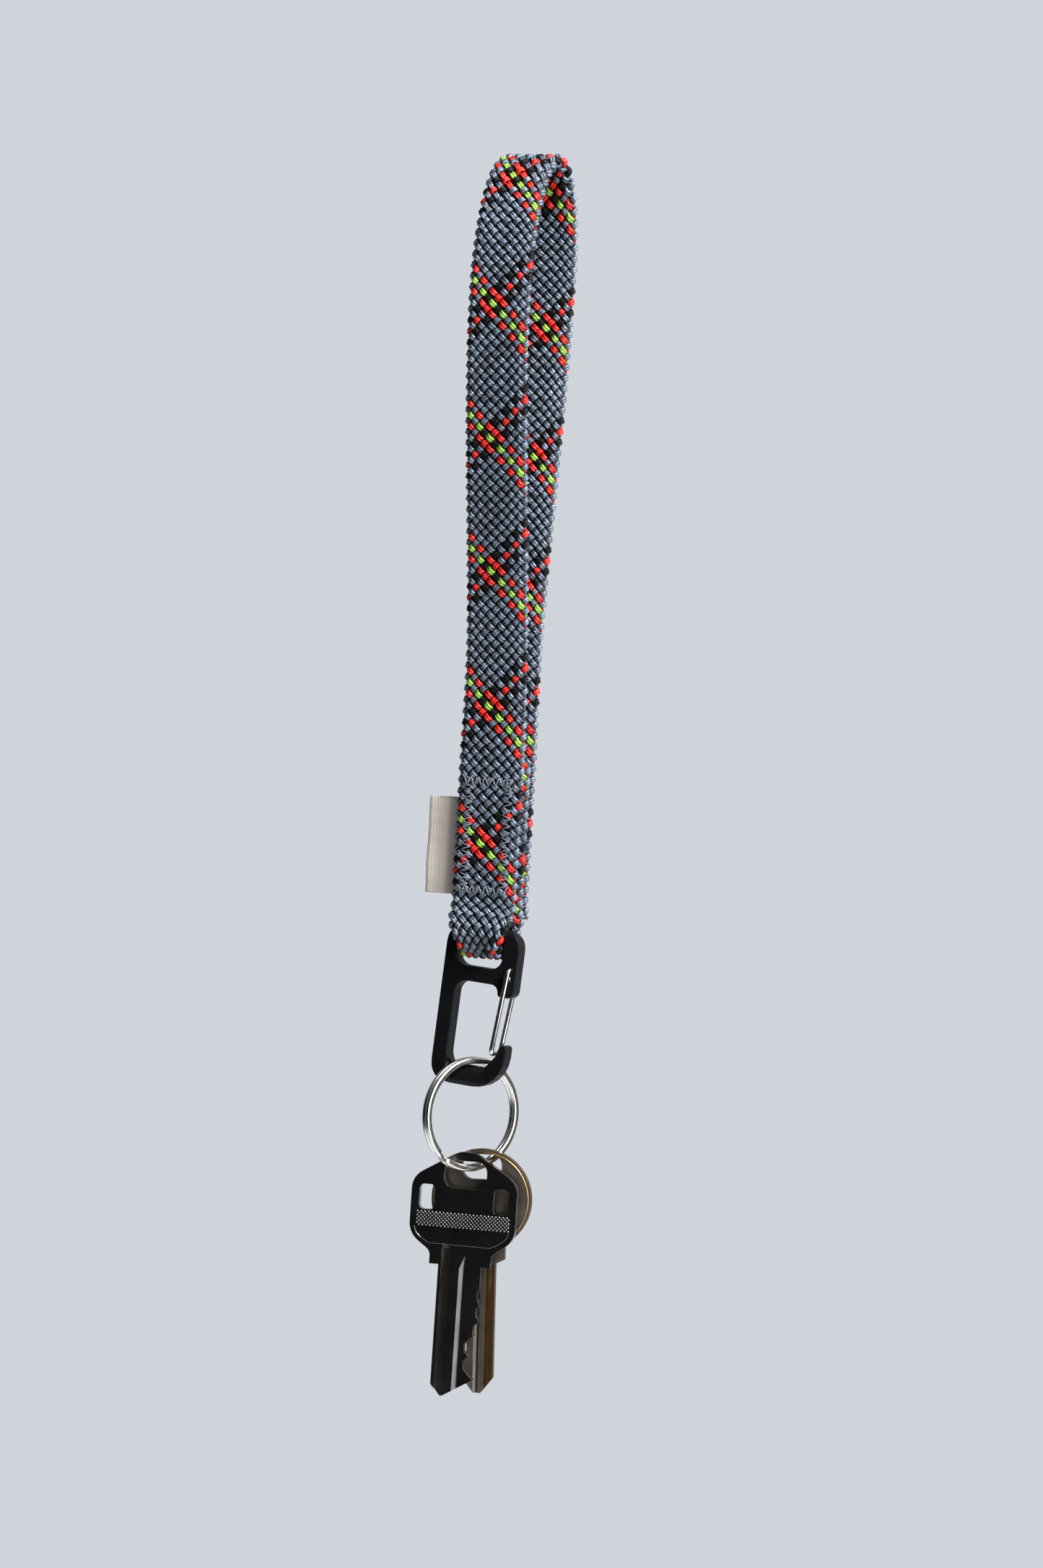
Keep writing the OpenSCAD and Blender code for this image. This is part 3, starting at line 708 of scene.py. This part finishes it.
thread_finish, thread_nodes, thread_shader = new_finish("seam_thread", Roughness=0.5, Sheen_Weight=0.2)
thread_tint = noise(thread_nodes, object_place(thread_nodes), scale=1500.0)
feed(thread_shader, "Base Color", blend(thread_nodes, thread_tint, THREAD_DARK, THREAD_LIGHT))
feed(thread_shader, "Normal", bump(thread_nodes, thread_tint, strength=0.4, depth=0.05))
print("finish", thread_finish.name)

# %% The seam's tree
ZIGZAG_W, STITCH = 2.2, 0.81
THREAD_R, THREAD_SIDES = 0.1, 6
LEG_STEPS = 6
DIVE, DIVE_POWER = 0.5, 3.0
WANDER, WANDER_SCALE = 0.5, 700.0

seam, given = new_tree("zigzag_seam", Width=ZIGZAG_W * MM, Stitch=STITCH * MM, Thread=THREAD_R * MM,
                       Sink=DIVE * MM, Facing=(0.0, -1.0, 0.0), Wander=WANDER * MM)
legs = (node(seam, "GeometryNodeSplineLength") / given["Stitch"] + 0.5).floor()
rows = resampled(curve_of(given["Geometry"]), legs * LEG_STEPS + 1.0)
phase = node(seam, "GeometryNodeSplineParameter") * legs
swing = phase.math("PINGPONG", phase, 1.0) * 2.0 - 1.0
ends = ((phase.fract() - 0.5).abs() * 2.0).power(DIVE_POWER)
sideways = vector_sum("CROSS_PRODUCT", node(seam, "GeometryNodeInputTangent"), given["Facing"])
sideways = scaled(sideways, swing * given["Width"] * 0.5)
move = vector_sum("SUBTRACT", sideways, scaled(given["Facing"], ends * given["Sink"]))
stray = other_output(noise(seam, node(seam, "GeometryNodeInputPosition"), scale=WANDER_SCALE), "Color")
stray = scaled(vector_sum("SUBTRACT", stray, (0.5, 0.5, 0.5)), given["Wander"])
offset = vector_sum("ADD", move, stray)
rows = node(seam, "GeometryNodeSetPosition", {}, {"Geometry": rows, "Offset": offset})
end_tree(seam, swept(rows, circle(seam, given["Thread"], THREAD_SIDES)), [(thread_finish, None)])

# %% Sew the front and the back
SEAM_Z, SEAM_W, SEAM_H = -148.6, 9.4, 24
SEAM_SINK = 0.12
CREST = SHEATH_T / 2 + RISE + YARN_R * (PLUMP + SWELL)
FRONT_FACE = FRONT_Y - CREST + SEAM_SINK
BACK_FACE = BACK_Y + CREST - SEAM_SINK


def seam_rows(y):
    x, z = SEAM_W / 2, SEAM_H / 2
    over = ZIGZAG_W / 2
    level = [[(-x - over, y, SEAM_Z + s * z), (x + over, y, SEAM_Z + s * z)] for s in (-1, 1)]
    return level + [[(s * x, y, SEAM_Z - z - over), (s * x, y, SEAM_Z + z + over)] for s in (-1, 1)]


for name, thread, y, facing in (("needle_seam", "needle_thread", FRONT_FACE, -1.0),
                                ("bobbin_seam", "bobbin_thread", BACK_FACE, 1.0)):
    piece = grow(name, seam, paths_mesh(name, seam_rows(y)), Facing=(0.0, facing, 0.0))
    ride(piece, "strap", "thread", thread)

# %% [markdown]
# ## The label
# A short cream tape is folded in half and caught between the front run and the tail, with its fold
# outwards. A box would look like card, so the tape is one thin sheet, led round the fold, with
# a slight slackness, and gets its thickness from a Solidify step. Its ribs are woven in the finish.

# %% Tape finish
TAPE_DARK, TAPE_LIGHT = (0.66, 0.585, 0.51, 1), (0.8, 0.72, 0.64, 1)
RIB_PITCH, PICK_PITCH = 0.72, 0.42
RIB_SHARE, PICK_SHARE = 0.65, 0.35
WEAVE_HEIGHT, FLUFF_HEIGHT = 0.8, 0.2

tape, tape_tree, tape_shader = new_finish("label_tape", Roughness=0.85, Sheen_Weight=0.2,
                                          Specular_IOR_Level=0.25)
across_rib, _, up_rib = parts_of(object_place(tape_tree))
rib = (across_rib * (2 * math.pi / (RIB_PITCH * MM))).ripple()
pick = (up_rib * (2 * math.pi / (PICK_PITCH * MM))).ripple()
weave = rib * RIB_SHARE + pick * PICK_SHARE
fluff = noise(tape_tree, object_place(tape_tree), scale=420.0, detail=3.0)
feed(tape_shader, "Base Color", blend(tape_tree, weave * 0.5 + fluff * 0.5, TAPE_DARK, TAPE_LIGHT))
woven = weave * WEAVE_HEIGHT + fluff * FLUFF_HEIGHT
feed(tape_shader, "Normal", bump(tape_tree, woven, strength=0.35, depth=0.12))
print("finish", tape.name)

# %% The tape's line round its fold, seen from above
LABEL_OUT, LABEL_IN, LABEL_H = 7.9, 6.0, 21.6
LABEL_T, LABEL_GAP = 0.45, 0.03
LABEL_BULGE, FOLD_PULL = 0.18, 1.2
LINE_STEPS, FOLD_STEPS = 24, 10
STRAP_W = 14.4
STRAP_EDGE = -STRAP_W / 2


def label_line():
    half = LABEL_T / 2 + LABEL_GAP
    left = STRAP_EDGE - LABEL_OUT + 2 * half
    right = STRAP_EDGE + LABEL_IN
    flat = [right + (left - right) * i / LINE_STEPS for i in range(LINE_STEPS + 1)]
    out = [min(1, max(0, (STRAP_EDGE - x) / LABEL_OUT)) for x in flat]
    bulge = [LABEL_BULGE * math.sin(math.pi * share) for share in out]
    bend = [math.pi * i / FOLD_STEPS for i in range(1, FOLD_STEPS)]
    line = [(x, -half - b) for x, b in zip(flat, bulge)]
    line += [(left - half * FOLD_PULL * math.sin(a), -half * math.cos(a)) for a in bend]
    return line + [(x, half + b) for x, b in zip(flat, bulge)][::-1]


tape_line = label_line()
print("label line of", len(tape_line), "points")

# %% The tape as a slack sheet with a thickness
LABEL_Y, LABEL_Z = (FRONT_Y + TAIL_Y) / 2, -151.1
LABEL_ROWS = 42
SLACK, SLACK_RATE = 0.14, 0.42
FLUTTER, FLUTTER_RATE = 0.04, 1.9
DRIFT, DRIFT_RATE, DRIFT_START = 0.04, 0.6, 1
CLOTH_SHARE = 0.9

label_points = []
for i in range(LABEL_ROWS + 1):
    z = (i / LABEL_ROWS - 0.5) * LABEL_H
    for x, y in tape_line:
        loose = max(0, STRAP_EDGE - x) / LABEL_OUT
        wave = SLACK * loose * math.sin(z * SLACK_RATE) + FLUTTER * loose * math.sin(z * FLUTTER_RATE)
        drift = DRIFT * math.sin(z * DRIFT_RATE + DRIFT_START) * loose
        label_points.append(Vector((x + drift, LABEL_Y + y + wave, LABEL_Z + z)) * MM)
wide = len(tape_line)
label_faces = [(i * wide + j, i * wide + j + 1, (i + 1) * wide + j + 1, (i + 1) * wide + j)
               for i in range(LABEL_ROWS) for j in range(wide - 1)]
label_mesh = bpy.data.meshes.new("folded_label")
label_mesh.from_pydata(label_points, [], label_faces)
label_mesh.materials.append(tape)
label_piece = add_object("folded_label", label_mesh)
thick = label_piece.modifiers.new("thick", "SOLIDIFY")
thick.thickness = LABEL_T * CLOTH_SHARE * MM
thick.offset = 0
make_plain(label_piece)
for face in label_piece.data.polygons:
    face.use_smooth = True
ride(label_piece, "strap", "label_tape", "label")

# %% [markdown]
# ## The clip
# The clip is cast metal with a satin black coat: nearly black, faintly uneven, a little
# shinier where hands have rubbed it. A bevel has no room at the small cuts round the bars, so
# a copy of the solid is skinned with a fine even mesh, and that is smoothed until its edges are round.
# The clip hangs askew, and a skin has steps along an edge that lies askew to its grid, so the copy is
# set upright first and leaned over again afterwards.

# %% Coat finish
COAT_DARK, COAT_LIGHT = (0.003, 0.003, 0.0035, 1), (0.006, 0.006, 0.007, 1)
COAT_ROUGH, COAT_UNEVEN = 0.3, 0.2

coat, coat_tree, coat_shader = new_finish("satin_black", Specular_IOR_Level=0.1)
coat_place = object_place(coat_tree)
grain = noise(coat_tree, coat_place, scale=2600.0)
handled = noise(coat_tree, coat_place, scale=160.0, detail=3.0)
feed(coat_shader, "Base Color", blend(coat_tree, handled, COAT_DARK, COAT_LIGHT))
feed(coat_shader, "Roughness", COAT_ROUGH + handled * COAT_UNEVEN)
feed(coat_shader, "Normal", bump(coat_tree, grain, strength=0.12, depth=0.03))
print("finish", coat.name)

# %% Clip
CLIP_LEAN = math.radians(4.5)
SKIN_GRAIN = 0.17
SMOOTH_FACTOR, SMOOTH_PASSES = 0.5, 16

leaning = Matrix.Rotation(CLIP_LEAN, 4, "Y")
clip_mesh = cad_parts["clip_body"].data.copy()
clip_mesh.transform(leaning.inverted())
clip_mesh.materials.clear()
clip_mesh.materials.append(coat)
clip = add_object("clip_plate", clip_mesh)
skin = clip.modifiers.new("skin", "REMESH")
skin.mode = "VOXEL"
skin.voxel_size = SKIN_GRAIN * MM
skin.use_smooth_shade = True
worn = clip.modifiers.new("worn", "SMOOTH")
worn.factor = SMOOTH_FACTOR
worn.iterations = SMOOTH_PASSES
make_plain(clip)
clip.data.transform(leaning)
ride(clip, "clip", "clip_finish", "clip_body")

# %% [markdown]
# ## The wire gate
# The gate is one bent wire whose two ends sit in the clip at different heights, which makes it
# spring shut. Its path is a polyline with its corners rounded, and a circle is led along it.

# %% Steel finish and the wire's tree
STEEL_DARK, STEEL_LIGHT = (0.6, 0.6, 0.6, 1), (0.78, 0.78, 0.77, 1)
STEEL_ROUGH, STEEL_UNEVEN = 0.16, 0.14
WIRE_D, WIRE_BEND = 1.1, 1.1
WIRE_SIDES, BEND_STEPS = 16, 8

steel, steel_tree, steel_shader = new_finish("bright_steel", Metallic=1.0)
drawn = noise(steel_tree, object_place(steel_tree), scale=700.0, detail=3.0)
feed(steel_shader, "Base Color", blend(steel_tree, drawn, STEEL_DARK, STEEL_LIGHT))
feed(steel_shader, "Roughness", STEEL_ROUGH + drawn * STEEL_UNEVEN)

bent, given = new_tree("bent_wire", Wire=WIRE_D * MM, Bend=WIRE_BEND * MM)
wire = rounded(curve_of(given["Geometry"]), given["Bend"], BEND_STEPS)
end_tree(bent, swept(wire, circle(bent, given["Wire"] * 0.5, WIRE_SIDES)), [(steel, None)])

# %% Gate
PIVOT_X, PIVOT_Z, PIVOT_STEP = 7.7, -6.9, 2.2
FOOT_X, FOOT_Z = 6.15, -25.8
LEG_Y = 2.75
PIN_IN = 0.3

in_clip = Matrix.Translation((0, BAR_Y, BAR_Z)) @ Matrix.Rotation(CLIP_LEAN, 4, "Y")
gate_path = [(PIVOT_X, -PIN_IN, PIVOT_Z), (PIVOT_X, -LEG_Y, PIVOT_Z),
             (FOOT_X, -LEG_Y, FOOT_Z), (FOOT_X, LEG_Y, FOOT_Z),
             (PIVOT_X, LEG_Y, PIVOT_Z - PIVOT_STEP), (PIVOT_X, PIN_IN, PIVOT_Z - PIVOT_STEP)]
gate = grow("wire_gate", bent, paths_mesh("wire_gate", [[in_clip @ Vector(p) for p in gate_path]]))
ride(gate, "gate", "gate_steel", "gate_wire")

# %% [markdown]
# ## The split ring
# The ring is one flat wire wound twice round, stepping over from the first turn to the second.
# A rule gives its line, and a rounded flat section is led along it.

# %% Nickel finish of the ring
NICKEL_DARK, NICKEL_LIGHT = (0.68, 0.66, 0.63, 1), (0.84, 0.82, 0.79, 1)
NICKEL_ROUGH, NICKEL_UNEVEN = 0.17, 0.1

nickel, nickel_tree, nickel_shader = new_finish("ring_nickel", Metallic=1.0)
nickel_mark = noise(nickel_tree, object_place(nickel_tree), scale=500.0, detail=4.0)
feed(nickel_shader, "Base Color", blend(nickel_tree, nickel_mark, NICKEL_DARK, NICKEL_LIGHT))
feed(nickel_shader, "Roughness", NICKEL_ROUGH + nickel_mark * NICKEL_UNEVEN)
print("finish", nickel.name)

# %% Ring
RING_R = 11.95
RING_WIRE, RING_TURN, TURN_GAP = 1.5, 1.05, 0.08
RING_STEP, RING_STEP_AT = 18, 222
TURNS, FULL_TURN, RING_POINTS = 2, 360.0, 360
EDGE_SHARE, EDGE_STEPS = 0.47, 5
RING_YAW = math.radians(59)
RING_AT = (-0.880317, -1.925, -210.246)

coil, given = new_tree("split_ring", Radius=RING_R * MM, Wire=RING_WIRE * MM, Turn=RING_TURN * MM,
                       Gap=TURN_GAP * MM, Step=float(RING_STEP), First=float(RING_STEP_AT + RING_STEP),
                       Rings=RING_POINTS)
line = resampled(node(coil, "GeometryNodeCurvePrimitiveLine"), given["Rings"])
angle = node(coil, "GeometryNodeSplineParameter") * (TURNS * FULL_TURN - given["Step"])
over = mapped(angle, FULL_TURN - given["Step"], FULL_TURN, 0.5, -0.5)
bearing = (angle + given["First"]) * math.radians(1)
spot = vector_of(coil, bearing.cos() * given["Radius"], bearing.sin() * given["Radius"],
                 over * (given["Turn"] + given["Gap"]))
line = node(coil, "GeometryNodeSetCurveNormal", {"mode": "Z_UP"}, {"Curve": moved(line, spot)})
flat = rounded(oblong(coil, given["Wire"], given["Turn"]), given["Turn"] * EDGE_SHARE, EDGE_STEPS)
turns = node(coil, "GeometryNodeTransform", {}, {
    "Geometry": swept(line, flat), "Translation": Vector(RING_AT) * MM,
    "Rotation": Euler((math.pi / 2, 0, RING_YAW))})
end_tree(coil, turns, [(nickel, None)])
ring = grow("key_ring", coil, paths_mesh("key_ring", []))
ride(ring, "ring", "ring_nickel", "split_ring")

# %% [markdown]
# ## Key finishes
# Both keys are stamped from plated brass and milled afterwards, so the plate is missing where the
# cutter went. The padlock key is older: its edges show brass, and along one side of its blade the plate
# is rubbed off. Scratches run down each key, so a Mapping node turns the pattern into the key's own frame,
# and the rubbed strip, which has a soft border, is a range in the same frame.

# %% The keys' own frames
KEY_YAW = math.radians(12)
HOUSE_AT, HOUSE_LEAN = (-0.983324, -2.09643, -222.194), math.radians(0.5)
PADLOCK_AT, PADLOCK_LEAN = (1.23134, 1.58939, -221.47), math.radians(-2)


def key_frame(place, lean):
    return Matrix.Translation(place) @ Matrix.Rotation(KEY_YAW, 4, "Z") @ Matrix.Rotation(lean, 4, "Y")


in_house = key_frame(HOUSE_AT, HOUSE_LEAN)
in_padlock = key_frame(PADLOCK_AT, PADLOCK_LEAN)
print("house key at", HOUSE_AT, "and padlock key at", PADLOCK_AT)

# %% Plated, milled and rubbed metal
SCRATCH_STRETCH = (1, 1, 0.1)
SCRATCH_SHARE, PATCH_TONE = 0.6, 0.4
PATCH_ROUGH, SCRATCH_ROUGH, SCRATCH_DEPTH = 0.1, 0.06, 0.02
BARE_FROM, BARE_TO, BARE_TOP, BARE_WANDER = 1.9, 2.4, -22, 0.4
BARE_DARK, BARE_LIGHT = (0.08, 0.046, 0.02, 1), (0.3, 0.185, 0.09, 1)


def metal_finish(name, key, dark, light, rough, brushed, rubbed=False):
    material, tree, shader = new_finish(name, Metallic=1.0)
    place = node(tree, "ShaderNodeMapping", {"vector_type": "TEXTURE"}, {
        "Vector": object_place(tree), "Location": key.translation * MM, "Rotation": key.to_euler()})
    stretched = node(tree, "ShaderNodeMapping", {}, {"Vector": place, "Scale": SCRATCH_STRETCH})
    scratch = noise(tree, stretched, scale=2600.0, detail=4.0, rough=0.65)
    patch = noise(tree, place, scale=170.0, detail=4.0, rough=0.6)
    tone = scratch * SCRATCH_SHARE + patch * PATCH_TONE
    colour = blend(tree, tone, dark, light)
    if rubbed:
        x, _, z = parts_of(place)
        bare = mapped(x + patch * (BARE_WANDER * MM), BARE_FROM * MM, BARE_TO * MM)
        brass = blend(tree, tone, BARE_DARK, BARE_LIGHT)
        colour = blend(tree, bare * (z < BARE_TOP * MM), colour, brass)
    feed(shader, "Base Color", colour)
    feed(shader, "Roughness", rough + patch * PATCH_ROUGH + scratch * SCRATCH_ROUGH)
    feed(shader, "Normal", bump(tree, scratch, strength=brushed, depth=SCRATCH_DEPTH))
    print("finish", name)
    return material


plate = metal_finish("house_key_plate", in_house, dark=(0.3, 0.29, 0.285, 1), light=(0.46, 0.45, 0.44, 1),
                     rough=0.08, brushed=0.05)
milled = metal_finish("milled_brass", in_house, dark=(0.02, 0.017, 0.014, 1), light=(0.13, 0.11, 0.09, 1),
                      rough=0.32, brushed=0.3)
brushed = metal_finish("milled_nickel", in_house, dark=(0.015, 0.015, 0.015, 1), light=(0.24, 0.24, 0.24, 1),
                       rough=0.34, brushed=0.5)
dull_plate = metal_finish("padlock_key_plate", in_padlock, dark=(0.18, 0.158, 0.135, 1),
                          light=(0.42, 0.37, 0.315, 1), rough=0.27, brushed=0.12, rubbed=True)
grooved = metal_finish("padlock_groove", in_padlock, dark=(0.015, 0.014, 0.012, 1),
                       light=(0.13, 0.12, 0.1, 1), rough=0.36, brushed=0.5, rubbed=True)
gold_edge = metal_finish("padlock_key_edge", in_padlock, dark=(0.08, 0.046, 0.016, 1),
                         light=(0.26, 0.16, 0.06, 1), rough=0.36, brushed=0.2)
gold_rim = metal_finish("padlock_rim", in_padlock, dark=(0.26, 0.16, 0.06, 1), light=(0.46, 0.3, 0.13, 1),
                        rough=0.26, brushed=0.1)

# %% [markdown]
# ## The keys
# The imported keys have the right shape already, but a model straight from solids has edges like knives.
# A copy is merged, its flat faces are joined, and a narrow bevel rounds every edge, which is what
# catches the light on real keys. Faces are sorted by the way that they look: flat ones keep the plate,
# and sloped or upright ones show where the cutter went. A painted mask would do too, but the faces
# already have the exact border.

# %% A softened copy of a node
MERGE = 0.002
FLAT_WITHIN = math.radians(0.5)
BEVEL_STEPS, BEVEL_FROM = 3, math.radians(14)


def softened(source, name, width, finishes, chosen):
    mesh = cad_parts[source].data.copy()
    mesh.materials.clear()
    for finish in finishes:
        mesh.materials.append(finish)
    shape = bmesh.new()
    shape.from_mesh(mesh)
    bmesh.ops.remove_doubles(shape, verts=shape.verts, dist=MERGE * MM)
    bmesh.ops.dissolve_limit(shape, angle_limit=FLAT_WITHIN, verts=shape.verts, edges=shape.edges)
    shape.normal_update()
    for face in shape.faces:
        face.smooth = True
        face.material_index = chosen(face)
    shape.to_mesh(mesh)
    shape.free()
    piece = add_object(name, mesh)
    edge = piece.modifiers.new("edge", "BEVEL")
    edge.width = width * MM
    edge.segments = BEVEL_STEPS
    edge.limit_method = "ANGLE"
    edge.angle_limit = BEVEL_FROM
    edge.use_clamp_overlap = True
    level = piece.modifiers.new("level", "WEIGHTED_NORMAL")
    level.keep_sharp = True
    make_plain(piece)
    return piece


# %% House key and padlock key
FLAT, STEEP = 0.95, 0.5
CUTS_TOP, GROOVE_LEFT = -24.65, -1
HOUSE_BEVEL, PADLOCK_BEVEL = 0.2, 0.25
PLATED, EDGE, GROOVE = 0, 1, 2


def in_key(frame_of_key, face):
    back = frame_of_key.inverted()
    return back @ (face.calc_center_median() / MM), back.to_3x3() @ face.normal


def house_face(face):
    centre, normal = in_key(in_house, face)
    sloped = STEEP < abs(normal.y) < FLAT
    on_cuts = centre.z < CUTS_TOP and centre.x > 0 and abs(normal.y) < STEEP
    if sloped and centre.x > GROOVE_LEFT:
        return GROOVE
    return EDGE if on_cuts or sloped else PLATED


def padlock_face(face):
    _, normal = in_key(in_padlock, face)
    if STEEP < abs(normal.y) < FLAT:
        return GROOVE
    return EDGE if abs(normal.y) < FLAT else PLATED


house = softened("house_key", "house_key_blank", HOUSE_BEVEL, [plate, milled, brushed], house_face)
ride(house, "house_key", "house_key_nickel", "house_key")
padlock_finishes = [dull_plate, gold_edge, grooved]
padlock = softened("padlock_key", "padlock_key_blank", PADLOCK_BEVEL, padlock_finishes, padlock_face)
ride(padlock, "padlock_key", "padlock_key_brass", "padlock_key")

# %% [markdown]
# ## The knurled band
# The house key's bow has a band of fine knurls across it, on both faces. Knurls repeat, so a tree sets
# a small blunt pyramid on each point of a staggered grid, and the light breaks on them as on the real ones.

# %% Knurled band
HOUSE_T = 2.1
BAND_TOP, KNURL_STEP, KNURL_PITCH = -10.3, 0.42, 0.84
KNURL_ROWS, KNURL_COLUMNS, STAGGER = 8, 25, 0.5
KNURL_TIP, KNURL_FOOT, KNURL_HEIGHT, KNURL_SIDES = 0.05, 0.28, 0.2, 4

knurls, given = new_tree("knurled_band", Pitch=KNURL_PITCH * MM, Step=KNURL_STEP * MM, Top=BAND_TOP * MM,
                         Columns=KNURL_COLUMNS, Rows=KNURL_ROWS, Lift=HOUSE_T / 2 * MM)
points = node(knurls, "GeometryNodePoints", {}, {"Count": given["Columns"] * given["Rows"] * 2.0})
number = node(knurls, "GeometryNodeInputIndex")
row = (number / given["Columns"]).floor()
column = number - row * given["Columns"]
back_face = row > given["Rows"] - 0.5
row = row - back_face * given["Rows"]
facing = back_face * 2.0 - 1.0
middle = (given["Columns"] - STAGGER) * 0.5
knurl_x = (column + (row % 2.0) * STAGGER - middle) * given["Pitch"]
spot = vector_of(knurls, knurl_x, facing * given["Lift"], given["Top"] - row * given["Step"])
pyramid = node(knurls, "GeometryNodeMeshCone", {}, {
    "Vertices": KNURL_SIDES, "Radius Top": KNURL_TIP * MM, "Radius Bottom": KNURL_FOOT * MM,
    "Depth": KNURL_HEIGHT * MM})
tilt = vector_of(knurls, facing * (-math.pi / 2), 0.0, 0.0)
points = node(knurls, "GeometryNodeInstanceOnPoints", {},
              {"Points": moved(points, spot), "Instance": pyramid, "Rotation": tilt})
points = node(knurls, "GeometryNodeTransform", {}, {
    "Geometry": points, "Translation": in_house.translation * MM, "Rotation": in_house.to_euler()})
end_tree(knurls, points, [(brushed, None)])
band = grow("knurled_band", knurls, paths_mesh("knurled_band", []))
ride(band, "house_key", "house_key_nickel")

# %% [markdown]
# ## Ridge and rim
# A fine ridge runs round the foot of the panel under the band, and the padlock key's bow has a raised rim.
# Both could be built into the solids, but a tube that is sunk into the face by half looks the same
# and follows any outline.

# %% A raised line
RIDGE_W, RIDGE_BEND = 0.09, 1.2
RIDGE_SIDES, CORNER_STEPS = 8, 6

ridge, given = new_tree("raised_line", Wire=RIDGE_W * MM, Bend=RIDGE_BEND * MM)
line = rounded(curve_of(given["Geometry"]), given["Bend"], CORNER_STEPS, limit=True)
end_tree(ridge, swept(line, circle(ridge, given["Wire"] * 0.5, RIDGE_SIDES)), [(plate, None)])

# %% Panel ridge and rim
PANEL = [(-10.8, -13.6), (-10.4, -14.8), (-9.2, -16.0), (-7.3, -17.1),
         (6.6, -17.2), (8.2, -16.4), (10, -15), (10.6, -13.6)]
PADLOCK_T = 2.0
RIM_R, RIM_MID, RIM_STEPS, RIM_W = 10.55, -7.65, 64, 0.4

panels = [[in_house @ Vector((x, y, z)) for x, z in PANEL] for y in (-HOUSE_T / 2, HOUSE_T / 2)]
panel = grow("panel_ridge", ridge, paths_mesh("panel_ridge", panels))
ride(panel, "house_key", "house_key_nickel")

angles = [2 * math.pi * i / RIM_STEPS for i in range(RIM_STEPS)]
rim_points = [(RIM_R * math.cos(a), RIM_MID + RIM_R * math.sin(a)) for a in angles]
rims = [[in_padlock @ Vector((x, y, z)) for x, z in rim_points] for y in (-PADLOCK_T / 2, PADLOCK_T / 2)]
rim = grow("bow_rim", ridge, paths_mesh("bow_rim", rims, closed=True), Wire=RIM_W * MM, Bend=0.0)
rim.data.materials[0] = gold_rim
ride(rim, "padlock_key", "padlock_key_brass")
